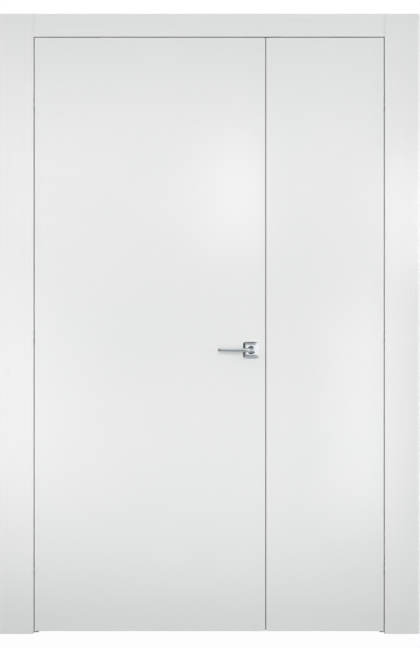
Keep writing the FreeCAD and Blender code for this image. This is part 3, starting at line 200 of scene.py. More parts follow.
def plated_metal(name, tone, shade, roughness, brushing):
    """Plated metal. Fine drawn lines, whose sizes are in millimetres, break up the reflection."""
    material, tree = new_material(name)
    place = add(tree, "ShaderNodeTexCoord").outputs["Object"]
    drawn = add(
        tree, "ShaderNodeMapping", {"Vector": place, "Scale": [per_metre(size) for size in brushing]},
    )
    lines = add(
        tree, "ShaderNodeTexNoise", {"Vector": drawn.outputs["Vector"], "Scale": 1.0, "Detail": 3.0},
    )
    # The plating lies in faint clouds some 17 mm across
    clouds = add(tree, "ShaderNodeTexNoise", {"Vector": place, "Scale": per_metre(17), "Detail": 2.0})
    tint = add(
        tree, "ShaderNodeMix",
        {"Factor": clouds.outputs["Fac"], 6: colour(shade), 7: colour(tone)}, data_type="RGBA",
    )
    gloss = add(
        tree, "ShaderNodeMapRange",
        {
            "Value": lines.outputs["Fac"], "From Min": 0.3, "From Max": 0.7,
            "To Min": roughness * 0.8, "To Max": roughness * 1.25,
        },
    )
    relief = add(
        tree, "ShaderNodeBump", {"Strength": 0.08, "Distance": 0.2 * MM, "Height": lines.outputs["Fac"]},
    )
    surface(tree, {
        "Base Color": tint.outputs[2], "Metallic": 1.0, "Roughness": gloss.outputs["Result"],
        "Normal": relief.outputs["Normal"],
    })
    return material


def polished_chrome(name, tone, shade):
    """Chrome plate over a buffed casting: a clear mirror with a trace of handling haze."""
    material, tree = new_material(name)
    place = add(tree, "ShaderNodeTexCoord").outputs["Object"]
    # Finger marks, some 11 mm across
    haze = add(tree, "ShaderNodeTexNoise", {"Vector": place, "Scale": per_metre(11.1), "Detail": 3.0})
    tint = add(
        tree, "ShaderNodeMix",
        {"Factor": haze.outputs["Fac"], 6: colour(shade), 7: colour(tone)}, data_type="RGBA",
    )
    gloss = add(
        tree, "ShaderNodeMapRange",
        {"Value": haze.outputs["Fac"], "From Min": 0.3, "From Max": 0.7, "To Min": 0.09, "To Max": 0.15},
    )
    surface(tree, {"Base Color": tint.outputs[2], "Metallic": 1.0, "Roughness": gloss.outputs["Result"]})
    return material


def seal_rubber(name, tone, shade):
    """Extruded rubber: matt, with a bloom that lightens it in patches."""
    material, tree = new_material(name)
    place = add(tree, "ShaderNodeTexCoord").outputs["Object"]
    bloom = add(tree, "ShaderNodeTexNoise", {"Vector": place, "Scale": per_metre(40), "Detail": 4.0})
    tint = add(
        tree, "ShaderNodeMix",
        {"Factor": bloom.outputs["Fac"], 6: colour(shade), 7: colour(tone)}, data_type="RGBA",
    )
    skin = add(tree, "ShaderNodeTexNoise", {"Vector": place, "Scale": per_metre(0.7)})
    relief = add(
        tree, "ShaderNodeBump", {"Strength": 0.15, "Distance": 0.2 * MM, "Height": skin.outputs["Fac"]},
    )
    surface(tree, {"Base Color": tint.outputs[2], "Roughness": 0.75, "Normal": relief.outputs["Normal"]})
    return material


def raw_chipboard(name, tone, shade):
    """Pressed wood chips, about 4 mm across, in light and dark flakes."""
    material, tree = new_material(name)
    place = add(tree, "ShaderNodeTexCoord").outputs["Object"]
    chips = add(tree, "ShaderNodeTexVoronoi", {"Vector": place, "Scale": per_metre(3.6)})
    tint = add(
        tree, "ShaderNodeMix",
        {"Factor": chips.outputs["Color"], 6: colour(shade), 7: colour(tone)}, data_type="RGBA",
    )
    relief = add(
        tree, "ShaderNodeBump",
        {"Strength": 0.4, "Distance": 0.4 * MM, "Height": chips.outputs["Distance"]},
    )
    surface(tree, {"Base Color": tint.outputs[2], "Roughness": 0.85, "Normal": relief.outputs["Normal"]})
    return material


def hex_property(name, description, default):
    return bpy.props.StringProperty(name=name, description=description, default=default)


def size_property(name, description, millimetres):
    return bpy.props.FloatProperty(
        name=name, description=description, default=millimetres * MM, min=0.0, unit="LENGTH", precision=5,
    )


def metres_property(name, description, metres):
    return bpy.props.FloatProperty(name=name, description=description, default=metres, unit="LENGTH")


def angle_property(name, description, degrees):
    return bpy.props.FloatProperty(
        name=name, description=description, default=math.radians(degrees), subtype="ANGLE",
    )


def power_property(name, description, watts):
    return bpy.props.FloatProperty(
        name=name, description=description, default=watts, min=0.0, unit="POWER",
    )


def oval_property(name, description, value):
    """2 is an oval. Less gives keener ends, and more comes near a rectangle."""
    return bpy.props.FloatProperty(name=name, description=description, default=value, min=1.0)


class DoorFinishes(bpy.types.PropertyGroup):
    """Colours of the finishes, as sRGB hex values"""

    frame_white: hex_property("Frame white", "Lacquer on the casings and jambs", "#edecec")
    frame_grain: hex_property("Frame grain", "The lacquer where the grain shows", "#e8e8e7")
    # Tone of the shade painted along the joints beside the head board
    frame_shade_line: hex_property("Frame joint", "The lacquer where it sank into the head's joints", "#e5e4e4")
    leaf_white: hex_property("Leaf white", "Lacquer on the leaves", "#eaeae9")
    leaf_shade: hex_property("Leaf shade", "The lacquer where it lies thinner", "#e7e7e7")
    chrome: hex_property("Chrome", "Handle plating", "#f0f3f5")
    chrome_haze: hex_property("Chrome haze", "Handle plating where it was touched", "#e6eaed")
    zinc: hex_property("Zinc", "Satin plating of hinge bodies and plates", "#c9cacc")
    zinc_shade: hex_property("Zinc shade", "The satin plating where it lies thinner", "#bdbec0")
    steel: hex_property("Steel", "Screws, pins, arms and bolts", "#b4b6b9")
    steel_shade: hex_property("Steel shade", "The steel where its plating lies thinner", "#a6a9ad")
    rubber: hex_property("Rubber", "Seals, where a bloom lightens them", "#868685")
    rubber_shade: hex_property("Rubber shade", "Seals elsewhere", "#767675")
    chip: hex_property("Chipboard", "Light flakes of the core inside the leaves", "#c3a57a")
    chip_shade: hex_property("Chipboard shade", "Dark flakes of the core", "#8f744e")


class DoorHandle(bpy.types.PropertyGroup):
    """Sizes of the lever handles and roses"""

    rose_side: size_property("Rose side", "Width of the square rose", 58)
    rose_depth: size_property("Rose depth", "How far the rose stands off the leaf", 10)
    rose_slope: angle_property("Rose slope", "Lean of the rose's border", 30)
    rose_border: size_property("Rose border", "Width of the rose's evenly leaning border", 3)
    rose_edge: size_property("Rose edge", "Radius of the edge above the upright rim", 0.6)
    rose_corner: size_property("Rose corner", "Corner radius of the rose", 8)
    rose_hole: size_property("Rose hole", "Diameter of the opening for the neck", 28.8)
    rose_wall: size_property("Rose wall", "Thickness of the pressed rose", 1.2)
    neck: size_property("Neck", "Diameter of the lever's neck", 28)
    seat: size_property("Seat", "Where the neck starts, from the leaf", 5.8)
    reach: size_property("Reach", "Distance of the bar's middle from the leaf", 50)
    neck_ease: size_property("Neck ease", "Rounding of the neck's foot", 0.6)
    dome: size_property("Dome", "How far the hub bulges past the bar's middle", 5.5)
    shoulder: angle_property("Shoulder", "Lean of the hub's end at its rim", 44)
    crown: angle_property("Crown", "Lean of the hub's end near its middle", 16)
    heel: size_property("Heel", "How far the bar runs past the axis, over the hub", 12)
    length: size_property("Length", "From the handle's axis to the bar's tip", 120)
    root_height: size_property("Root height", "Height of the bar near the neck", 12)
    root_depth: size_property("Root depth", "Thickness of the bar near the neck", 12.5)
    root_power: oval_property("Root power", "Shape of the bar's section over the hub", 1.6)
    bar_power: oval_property("Bar power", "Shape of the bar's section past the flare", 5.0)
    bar_cant: angle_property("Bar cant", "How far the bar's face leans down past the flare", 13)
    flare: size_property("Flare", "How much the bar swells towards the hub, on each side", 2.5)
    flare_length: size_property("Flare length", "Over how much of the bar it swells", 30)
    tip_height: size_property("Tip height", "Height of the bar at its tip", 9.8)
    tip_depth: size_property("Tip depth", "Thickness of the bar at its tip", 10)
    tip_return: size_property("Tip return", "Length over which the bar turns back to the leaf", 14)
    tip_drop: size_property("Tip drop", "How far the tip turns back", 6)
    tip_round: size_property("Tip round", "Length of the rounded tip", 3.5)


class DoorScrews(bpy.types.PropertyGroup):
    """Sizes of the countersunk screws"""

    head: size_property("Head", "Diameter of the head", 8)
    head_height: size_property("Head height", "Depth of the countersunk head", 2.4)
    shank: size_property("Shank", "Diameter of the shank", 4)
    recess: size_property("Recess", "Width of the driver's star recess", 4)
    recess_depth: size_property("Recess depth", "Depth of the recess", 1.5)
    head_scale: bpy.props.FloatProperty(name="Head scale", description="Size of all heads", default=1.0)


class DoorStage(bpy.types.PropertyGroup):
    """Camera and lights"""

    distance: metres_property("Distance", "Camera to the wall's face", 8.0)
    eye_height: metres_property("Eye height", "Camera above the floor", 1.094)
    eye_side: metres_property("Eye side", "Camera right of the middle", 0.003)
    view_height: metres_property(
        "View height", "Height of the picture at the leaf's face", PICTURE_HEIGHT * PIXEL,
    )
    floor_tone: hex_property("Floor tone", "Colour of the floor as it lights the door's foot", "#a2a8ab")
    ambient: bpy.props.FloatProperty(name="Ambient", description="Light from all round", default=0.7)
    room_tint: hex_property("Room tint", "Colour of the light from all round", "#fcffff")
    lamp_tint: hex_property("Lamp tint", "Colour of the lamps", "#fffcfb")
    grid_distance: metres_property("Grid distance", "Grid lamps to the wall's face", 4.5)
    key_power: power_property("Key lamp", "Lamp left of the camera, for the handle's shadow", 38.0)
    upper_power: power_property("Upper band", "Grid lamp for the upper half", 4.3)
    lower_power: power_property("Lower band", "Grid lamp for the lower half", 2.5)
    left_power: power_property("Left glow", "Grid lamp for the left casing", 0.19)
    right_power: power_property("Right glow", "Grid lamp for the right casing", 0.04)
    glow_power: power_property("Leaf sheen", "Grid lamp for the sheen on the wide leaf", 0.021)
    fill_power: power_property("Low fill", "Grid lamp for the foot of the narrow leaf", 0.055)
    rear_power: power_property("Rear box", "Soft box behind the door", 95)
    edge_power: power_property("Edge lights", "Tall lights level with the casings' outer edges", 1.8)


class DoorSet(bpy.types.PropertyGroup):
    """All settings of the door set"""

    finishes: bpy.props.PointerProperty(type=DoorFinishes)
    handle: bpy.props.PointerProperty(type=DoorHandle)
    screws: bpy.props.PointerProperty(type=DoorScrews)
    stage: bpy.props.PointerProperty(type=DoorStage)


def link_object(name, mesh, material):
    """A new object in the scene, with one material."""
    piece = bpy.data.objects.new(name, mesh)
    bpy.context.scene.collection.objects.link(piece)
    piece.data.materials.clear()
    piece.data.materials.append(material)
    return piece


def paint(names, material):
    """Give a finish to nodes that keep their own shape."""
    if not names:
        raise ValueError(f"no node takes {material.name}")
    for name in names:
        data = NODES[name].data
        data.materials.clear()
        data.materials.append(material)


def bridge_rings(mesh, rings):
    """Quads between rings of the same length, each a list of vertices."""
    for lower, upper in zip(rings, rings[1:]):
        count = len(lower)
        for i in range(count):
            j = (i + 1) % count
            mesh.faces.new((lower[i], lower[j], upper[j], upper[i]))


def circle(radius, count):
    """Points round a circle, at equal angles."""
    angles = [TURN * i / count for i in range(count)]
    return [(radius * math.cos(angle), radius * math.sin(angle)) for angle in angles]


def close_to_point(mesh, ring, place):
    """Triangles from a ring to the point that closes it."""
    tip = mesh.verts.new(place)
    for i, vertex in enumerate(ring):
        mesh.faces.new((vertex, ring[(i + 1) % len(ring)], tip))


def finished_mesh(name, mesh):
    """Close a bmesh into a mesh with outward faces and smooth shading."""
    bmesh.ops.remove_doubles(mesh, verts=mesh.verts, dist=MERGE)
    bmesh.ops.recalc_face_normals(mesh, faces=mesh.faces)
    data = bpy.data.meshes.new(name)
    mesh.to_mesh(data)
    mesh.free()
    for polygon in data.polygons:
        polygon.use_smooth = True
    return data


class DOOR_OT_finish_boards(bpy.types.Operator):
    """Lacquer the frame and the leaves and finish what is inside them"""

    bl_idname = "door.finish_boards"
    bl_label = "Finish boards"

    def execute(self, context):
        tones = context.scene.door_set.finishes
        # Grain lines are about 3 mm apart and 250 mm long, drawn wider than real ash so that they show
        upright = (3.0, 3.0, 250.0)
        level = (250.0, 3.0, 3.0)
        # Sprayed fibreboard has no grain, only cloudy patches some 6 mm across
        sprayed = (6.25, 6.25, 6.25)
        lacquer = (tones.frame_white, tones.frame_grain)
        name_starts = ("jamb_", "front_casing_", "rear_casing_")
        frame_boards = [name for name in NODES if name.startswith(name_starts)]
        frame_boards.remove("jamb_seal")
        heads = [name for name in frame_boards if name.endswith("_head")]
        sides = [name for name in frame_boards if name not in heads]
        paint(sides, lacquered_board(
            "white_lacquered_ash_upright", *lacquer, upright, pores=0.8, shade_line_tone=tones.frame_shade_line,
        ))
        paint(heads, lacquered_board(
            "white_lacquered_ash_level", *lacquer, level, pores=0.8, shade_line_tone=tones.frame_shade_line,
        ))
        leaf_boards = [name for name in NODES if name.endswith(("_skin", "_stile", "_rail"))]
        paint(leaf_boards, lacquered_board(
            "white_lacquered_fibreboard", tones.leaf_white, tones.leaf_shade, sprayed, pores=0.0,
        ))
        cores = [name for name in NODES if name.endswith(("_core", "_block"))]
        paint(cores, raw_chipboard("raw_chipboard", tones.chip, tones.chip_shade))
        seals = ["jamb_seal", "meeting_seal"]
        paint(seals, seal_rubber("grey_seal_rubber", tones.rubber, tones.rubber_shade))
        return {"FINISHED"}


class DOOR_OT_finish_ironwork(bpy.types.Operator):
    """Plate the hinges, the lock, the bolts and their plates"""

    bl_idname = "door.finish_ironwork"
    bl_label = "Finish ironwork"

    def execute(self, context):
        tones = context.scene.door_set.finishes
        # Drawn lines along the height of each piece, 0.5 mm apart and 25 mm long, which is coarser than
        # real ones so that they show
        upright = (0.5, 0.5, 25.0)
        satin = plated_metal("satin_plated_zinc", tones.zinc, tones.zinc_shade, 0.32, upright)
        bright = plated_metal("zinc_plated_steel", tones.steel, tones.steel_shade, 0.26, upright)
        plates = [name for name in NODES if name.endswith(("_bodies", "_plates", "_faceplate", "_keeper"))]
        plates.append("strike_plate")
        steel = [name for name in NODES if name.endswith(("_arms", "_pins", "_bolt", "_bolts", "_magnet"))]
        steel += ["lock_case", "lock_cover", "lock_follower", "spindle", "lever_grub_screws"]
        steel += ["rose_base_front", "rose_base_rear"]
        paint(plates, satin)
        paint(steel, bright)
        return {"FINISHED"}


def squircle(half, power, count):
    """Points round a square with soft corners, the squarer the higher the power, at equal angles."""
    points = []
    for i in range(count):
        angle = TURN * (i + 0.5) / count
        across, up = math.cos(angle), math.sin(angle)
        radius = half / (abs(across) ** power + abs(up) ** power) ** (1 / power)
        points.append((radius * across, radius * up))
    return points


def rose_mesh(name, sizes, face_y, out):
    """A pressed square cushion: upright rim, soft edge, leaning border and a slope up to the neck."""
    count = 160
    edge_steps = 5
    border_steps = 4
    slope_steps = 20
    mesh = bmesh.new()
    half = sizes.rose_side / 2
    hole = sizes.rose_hole / 2
    width = half - hole
    # The power at which the outline's corner has the rose's corner radius on the diagonal
    corner_reach = 1 - sizes.rose_corner / half * (1 - math.sqrt(0.5))
    power = -math.log(2) / math.log(corner_reach)
    lean = sizes.rose_slope
    edge_inset = sizes.rose_edge * (1 - math.sin(lean))
    border_rise = (sizes.rose_border - edge_inset) * math.tan(lean)
    slope_run = width - sizes.rose_border
    # The lean falls off evenly over the slope, and this is the height that gives
    slope_rise = slope_run / lean * -math.log(math.cos(lean))
    rim = sizes.rose_depth - slope_rise - border_rise - sizes.rose_edge * math.cos(lean)

    def ring(inset, height):
        shrink = inset / width
        outline = squircle(half - inset, 2 + (power - 2) * (1 - shrink) ** 2, count)
        y = face_y + out * height
        return [mesh.verts.new((HANDLE_AXIS.x + x, y, HANDLE_AXIS.z + z)) for x, z in outline]

    rings = [ring(0.0, 0.0)]
    for step in range(edge_steps + 1):
        angle = math.pi / 2 + (lean - math.pi / 2) * step / edge_steps
        inset = sizes.rose_edge * (1 - math.sin(angle))
        rings.append(ring(inset, rim + sizes.rose_edge * math.cos(angle)))
    foot = rim + sizes.rose_edge * math.cos(lean)
    for step in range(1, border_steps + 1):
        part = step / border_steps
        rings.append(ring(edge_inset + (sizes.rose_border - edge_inset) * part, foot + border_rise * part))
    for step in range(1, slope_steps + 1):
        part = step / slope_steps
        share = 1 - math.log(math.cos(lean * (1 - part))) / math.log(math.cos(lean))
        rings.append(ring(sizes.rose_border + slope_run * part, foot + border_rise + slope_rise * share))
    rings.append(ring(width, sizes.rose_depth - 2 * sizes.rose_wall))
    bridge_rings(mesh, rings)
    return finished_mesh(name, mesh)


class DOOR_OT_fit_roses(bpy.types.Operator):
    """Press the square roses and put them on both faces of the wide leaf"""

    bl_idname = "door.fit_roses"
    bl_label = "Fit roses"

    def execute(self, context):
        sizes = context.scene.door_set.handle
        chrome = bpy.data.materials["polished_chrome_plate"]
        for side, face_y, out in FACES:
            rose = link_object(f"pressed_rose_{side}", rose_mesh("rose", sizes, face_y, out), chrome)
            wall = rose.modifiers.new("Wall", "SOLIDIFY")
            wall.thickness = sizes.rose_wall
            wall.offset = -1.0
            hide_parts(f"rose_cover_{side}")
            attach(rose, "main_leaf")
        return {"FINISHED"}


def ease(share):
    """From 0 to 1 with a soft start and end."""
    return share * share * (3 - 2 * share)


def hub_mesh(sizes, face_y, out_sign):
    """The round neck with its domed end, whose lean falls evenly from the shoulder to the crown."""
    count = 96
    dome_steps = 20
    radius = sizes.neck / 2
    apex = sizes.reach + sizes.dome
    fall = (sizes.shoulder - sizes.crown) / radius
    profile = [(radius - sizes.neck_ease, sizes.seat), (radius, sizes.seat + sizes.neck_ease)]
    for step in range(dome_steps):
        across = radius * (1 - step / dome_steps)
        lean = sizes.crown + fall * across
        profile.append((across, apex - math.log(math.cos(sizes.crown) / math.cos(lean)) / fall))
    mesh = bmesh.new()
    rings = []
    for across, out in profile:
        rings.append([
            mesh.verts.new((HANDLE_AXIS.x + x, face_y + out_sign * out, HANDLE_AXIS.z + z))
            for x, z in circle(across, count)
        ])
    bridge_rings(mesh, rings)
    mesh.faces.new(rings[0])
    close_to_point(mesh, rings[-1], (HANDLE_AXIS.x, face_y + out_sign * apex, HANDLE_AXIS.z))
    return finished_mesh("lever_hub", mesh)


def bar_stations(sizes):
    """Along the bar: distance from the axis and out of the leaf, half the height and half the depth."""
    root = (sizes.root_height / 2, sizes.root_depth / 2)
    tip = (sizes.tip_height / 2, sizes.tip_depth / 2)
    bar_steps = 48
    end_steps = 12
    bar_end = sizes.length - sizes.tip_round
    quarter = [math.pi / 2 * i / end_steps for i in range(1, end_steps + 1)]
    # The last ring of each end is closed at this share of the bar's section
    least = 0.05
    rounding = [(math.sin(angle), max(math.cos(angle), least)) for angle in quarter]
    heel = [(-sizes.heel * past, shrink) for past, shrink in reversed(rounding)]
    straight = [(bar_end * i / bar_steps, 1.0) for i in range(bar_steps + 1)]
    nose = [(bar_end + sizes.tip_round * past, shrink) for past, shrink in rounding]
    stations = []
    for along, shrink in heel + straight + nose:
        share = min(1.0, max(0.0, along / bar_end))
        flare = sizes.flare * (1 - ease(min(1.0, max(0.0, along / sizes.flare_length))))
        turned = max(0.0, 1 - (sizes.length - along) / sizes.tip_return) ** 2
        half_height = root[0] + (tip[0] - root[0]) * share + flare
        half_depth = root[1] + (tip[1] - root[1]) * share - sizes.tip_drop / 2 * turned
        out = sizes.reach - sizes.tip_drop * turned
        stations.append((along, out, half_height * shrink, half_depth * shrink))
    return stations


def keen_oval(angle, power):
    """A point of an oval of half-sizes 1, keener at its four ends the lower the power."""
    outward, upward = math.cos(angle), math.sin(angle)
    return (
        math.copysign(abs(outward) ** (2 / power), outward),
        math.copysign(abs(upward) ** (2 / power), upward),
    )


def bar_mesh(sizes, face_y, out_sign):
    """The slim bar, keen over the hub, flatter and canted past the flare and turned back at its tip."""
    count = 64
    mesh = bmesh.new()
    rings = []
    for along, out, half_height, half_depth in bar_stations(sizes):
        settled = ease(min(1.0, max(0.0, along / sizes.flare_length)))
        power = sizes.root_power + (sizes.bar_power - sizes.root_power) * settled
        cant = sizes.bar_cant * settled
        ring = []
        for i in range(count):
            outward, upward = keen_oval(TURN * i / count, power)
            deep = half_depth * outward
            high = half_height * upward
            ring.append(mesh.verts.new((
                HANDLE_AXIS.x - along,
                face_y + out_sign * (out + deep * math.cos(cant) + high * math.sin(cant)),
                HANDLE_AXIS.z + high * math.cos(cant) - deep * math.sin(cant),
            )))
        rings.append(ring)
    bridge_rings(mesh, rings)
    mesh.faces.new(rings[0])
    mesh.faces.new(rings[-1])
    return finished_mesh("lever_bar", mesh)


def lever_mesh(sizes, face_y, out_sign, material):
    """Hub and bar as one closed skin, with a crisp line where they meet."""
    crisp_from = math.radians(40)
    hub = link_object("lever_hub", hub_mesh(sizes, face_y, out_sign), material)
    bar = link_object("lever_bar", bar_mesh(sizes, face_y, out_sign), material)
    union = hub.modifiers.new("Bar", "BOOLEAN")
    union.operation = "UNION"
    union.solver = "EXACT"
    union.object = bar
    graph = bpy.context.evaluated_depsgraph_get()
    joined = bpy.data.meshes.new_from_object(hub.evaluated_get(graph))
    bpy.data.objects.remove(hub)
    bpy.data.objects.remove(bar)
    joined.set_sharp_from_angle(angle=crisp_from)
    return joined


class DOOR_OT_fit_levers(bpy.types.Operator):
    """Bend the lever handles and put them on both ends of the spindle"""

    bl_idname = "door.fit_levers"
    bl_label = "Fit levers"

    def execute(self, context):
        tones = context.scene.door_set.finishes
        sizes = context.scene.door_set.handle
        chrome = polished_chrome("polished_chrome_plate", tones.chrome, tones.chrome_haze)
        for side, face_y, out in FACES:
            lever = link_object(f"bent_lever_{side}", lever_mesh(sizes, face_y, out, chrome), chrome)
            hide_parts(f"lever_{side}")
            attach(lever, "lever_set")
        return {"FINISHED"}


def screw_head_mesh(sizes):
    """A countersunk head with a six-pointed recess, its face at the origin and its shank along +Z."""
    count = 48
    mesh = bmesh.new()

    def ring(radii, depth):
        return [
            mesh.verts.new((r * math.cos(TURN * i / count), r * math.sin(TURN * i / count), depth))
            for i, r in enumerate(radii)
        ]

    lobes = 6
    lobe_depth = 0.14
    rim_height = 0.3 * MM
    face_share = 0.97
    recess_draft = 0.96
    recess_wall = 0.9
    waves = [math.cos(lobes * TURN * i / count) for i in range(count)]
    star = [sizes.recess / 2 * (1 - lobe_depth + lobe_depth * wave) for wave in waves]
    rings = [
        ring([sizes.shank / 2] * count, sizes.head_height),
        ring([sizes.head / 2] * count, rim_height),
        ring([sizes.head / 2 * face_share] * count, 0.0),
        ring(star, 0.0),
        ring([r * recess_draft for r in star], sizes.recess_depth * recess_wall),
    ]
    bridge_rings(mesh, rings)
    close_to_point(mesh, rings[-1], (0.0, 0.0, sizes.recess_depth))
    return finished_mesh("screw_head", mesh)


def screw_shank_mesh(sizes):
    """A shank one unit long, from just inside the head to a short point."""
    count = 16
    mesh = bmesh.new()
    radius = sizes.shank / 2
    # The share of the length and of the radius at each ring
    profile = ((0.05, 0.98), (0.8, 0.98), (0.99, 0.2))
    rings = []
    for along, width in profile:
        rings.append([mesh.verts.new((x, y, along)) for x, y in circle(radius * width, count)])
    bridge_rings(mesh, rings)
    mesh.faces.new(rings[0])
    mesh.faces.new(rings[-1])
    return finished_mesh("screw_shank", mesh)


def screw_tree(head, shank, material):
    """Geometry nodes that drive a screw at each point, along its heading and to its length."""
    tree = bpy.data.node_groups.new("driven_screws", "GeometryNodeTree")
    tree.interface.new_socket("Geometry", in_out="INPUT", socket_type="NodeSocketGeometry")
    size = tree.interface.new_socket("Head size", in_out="INPUT", socket_type="NodeSocketFloat")
    size.default_value = 1.0
    tree.interface.new_socket("Geometry", in_out="OUTPUT", socket_type="NodeSocketGeometry")
    given = add(tree, "NodeGroupInput")
    heading = add(tree, "GeometryNodeInputNamedAttribute", {"Name": "heading"}, data_type="FLOAT_VECTOR")
    length = add(tree, "GeometryNodeInputNamedAttribute", {"Name": "length"}, data_type="FLOAT")
    turned = add(
        tree, "FunctionNodeAlignRotationToVector", {"Vector": heading.outputs["Attribute"]}, axis="Z",
    )
    head_source = add(tree, "GeometryNodeObjectInfo", {"Object": head})
    shank_source = add(tree, "GeometryNodeObjectInfo", {"Object": shank})
    stretch = add(
        tree, "ShaderNodeCombineXYZ", {"X": 1.0, "Y": 1.0, "Z": length.outputs["Attribute"]},
    )
    heads = add(tree, "GeometryNodeInstanceOnPoints", {
        "Points": given.outputs["Geometry"], "Instance": head_source.outputs["Geometry"],
        "Rotation": turned.outputs["Rotation"], "Scale": given.outputs["Head size"],
    })
    shanks = add(tree, "GeometryNodeInstanceOnPoints", {
        "Points": given.outputs["Geometry"], "Instance": shank_source.outputs["Geometry"],
        "Rotation": turned.outputs["Rotation"], "Scale": stretch.outputs["Vector"],
    })
    joined = add(tree, "GeometryNodeJoinGeometry")
    tree.links.new(heads.outputs["Instances"], joined.inputs["Geometry"])
    tree.links.new(shanks.outputs["Instances"], joined.inputs["Geometry"])
    real = add(tree, "GeometryNodeRealizeInstances", {"Geometry": joined.outputs["Geometry"]})
    dressed = add(
        tree, "GeometryNodeSetMaterial", {"Geometry": real.outputs["Geometry"], "Material": material},
    )
    add(tree, "NodeGroupOutput", {"Geometry": dressed.outputs["Geometry"]})
    return tree


def separate_screws(node):
    """Where each screw of a node starts, which way it points and how long it is, from its box."""
    source = bmesh.new()
    source.from_mesh(NODES[node].data)
    bmesh.ops.remove_doubles(source, verts=source.verts, dist=MERGE)
    seen = set()
    screws = []
    # Taken in the mesh's own order, so that the screws come in the same order each run
    for first in source.verts:
        if first in seen:
            continue
        seen.add(first)
        island = [first]
        for vertex in island:
            for edge in vertex.link_edges:
                other = edge.other_vert(vertex)
                if other not in seen:
                    seen.add(other)
                    island.append(other)
        screws.append([vertex.co.copy() for vertex in island])
    source.free()
    return [screw_line(points) for points in screws]


def screw_line(points):
    """The head's middle, the unit heading and the length of one screw."""
    low = Vector([min(p[k] for p in points) for k in range(3)])
    high = Vector([max(p[k] for p in points) for k in range(3)])
    span = high - low
    axis = max(range(3), key=lambda k: span[k])
    others = [k for k in range(3) if k != axis]
    middle = (low + high) / 2
    at_end = 0.01 * MM

    def width_at(end):
        """The square of the greatest distance from the axis, at one end."""
        face = [p for p in points if abs(p[axis] - end) < at_end]
        return max(sum((p[k] - middle[k]) ** 2 for k in others) for p in face)

    head_low = width_at(low[axis]) > width_at(high[axis])
    start = middle.copy()
    start[axis] = low[axis] if head_low else high[axis]
    heading = Vector((0.0, 0.0, 0.0))
    heading[axis] = 1.0 if head_low else -1.0
    return start, heading, span[axis]


class DOOR_OT_drive_screws(bpy.types.Operator):
    """Drive the screws of the hinges, plates, keeper and frame corners"""

    bl_idname = "door.drive_screws"
    bl_label = "Drive screws"

    def execute(self, context):
        sizes = context.scene.door_set.screws
        steel = bpy.data.materials["zinc_plated_steel"]
        head = link_object("screw_head_pattern", screw_head_mesh(sizes), steel)
        shank = link_object("screw_shank_pattern", screw_shank_mesh(sizes), steel)
        tree = screw_tree(head, shank, steel)
        head_size = tree.interface.items_tree["Head size"].identifier
        for body in ("frame", "main_leaf", "narrow_leaf"):
            node = f"{body}_screws"
            lines = separate_screws(node)
            points = bpy.data.meshes.new(f"{node}_points")
            points.from_pydata([tuple(start) for start, _, _ in lines], [], [])
            heading = points.attributes.new("heading", "FLOAT_VECTOR", "POINT")
            heading.data.foreach_set("vector", [c for _, direction, _ in lines for c in direction])
            length = points.attributes.new("length", "FLOAT", "POINT")
            length.data.foreach_set("value", [size for _, _, size in lines])
            source = link_object(f"{node}_source", points, steel)
            modifier = source.modifiers.new("Screws", "NODES")
            modifier.node_group = tree
            modifier[head_size] = sizes.head_scale
            graph = context.evaluated_depsgraph_get()
            driven = bpy.data.meshes.new_from_object(source.evaluated_get(graph))
            bpy.data.objects.remove(source)
            piece = link_object(f"driven_{node}", driven, steel)
            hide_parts(node)
            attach(piece, body)
        bpy.data.objects.remove(head)
        bpy.data.objects.remove(shank)
        return {"FINISHED"}


def seen_directly(tree):
    """1 for rays from the camera or off a mirror or glass, and 0 for those that light the object."""
    path = add(tree, "ShaderNodeLightPath").outputs
    mirrored = add(
        tree, "ShaderNodeMath", {0: path["Is Glossy Ray"], 1: path["Is Transmission Ray"]},
        operation="MAXIMUM",
    )
    seen = add(
        tree, "ShaderNodeMath", {0: path["Is Camera Ray"], 1: mirrored.outputs["Value"]},
        operation="MAXIMUM",
    )
    return seen.outputs["Value"]


def studio_floor(tone):
    """A pale floor that looks white to the camera and in mirrors, and still takes the object's shadow."""
    glow_share = 0.97
    material, tree = new_material("pale_studio_floor")
    share = add(tree, "ShaderNodeMath", {0: seen_directly(tree), 1: glow_share}, operation="MULTIPLY")
    matt = add(tree, "ShaderNodeBsdfDiffuse", {"Color": colour(tone)})
    glow = add(tree, "ShaderNodeEmission", {"Color": colour(WHITE), "Strength": 1.0})
    mixed = add(tree, "ShaderNodeMixShader", {
        "Fac": share.outputs["Value"], 1: matt.outputs["BSDF"], 2: glow.outputs["Emission"],
    })
    add(tree, "ShaderNodeOutputMaterial", {"Surface": mixed.outputs["Shader"]})
    return material


def studio_world(ambient, tint):
    """White to the camera and in reflections, and an even, slightly cool light on everything else."""
    world = bpy.data.worlds.new("white_studio")
    world.use_nodes = True
    tree = world.node_tree
    tree.nodes.clear()
    seen = seen_directly(tree)
    strength = add(tree, "ShaderNodeMapRange", {"Value": seen, "To Min": ambient, "To Max": 1.0})
    shown = add(
        tree, "ShaderNodeMix", {"Factor": seen, 6: colour(tint), 7: colour(WHITE)}, data_type="RGBA",
    )
    light = add(
        tree, "ShaderNodeBackground", {"Color": shown.outputs[2], "Strength": strength.outputs["Result"]},
    )
    add(tree, "ShaderNodeOutputWorld", {"Surface": light.outputs["Background"]})
    return world


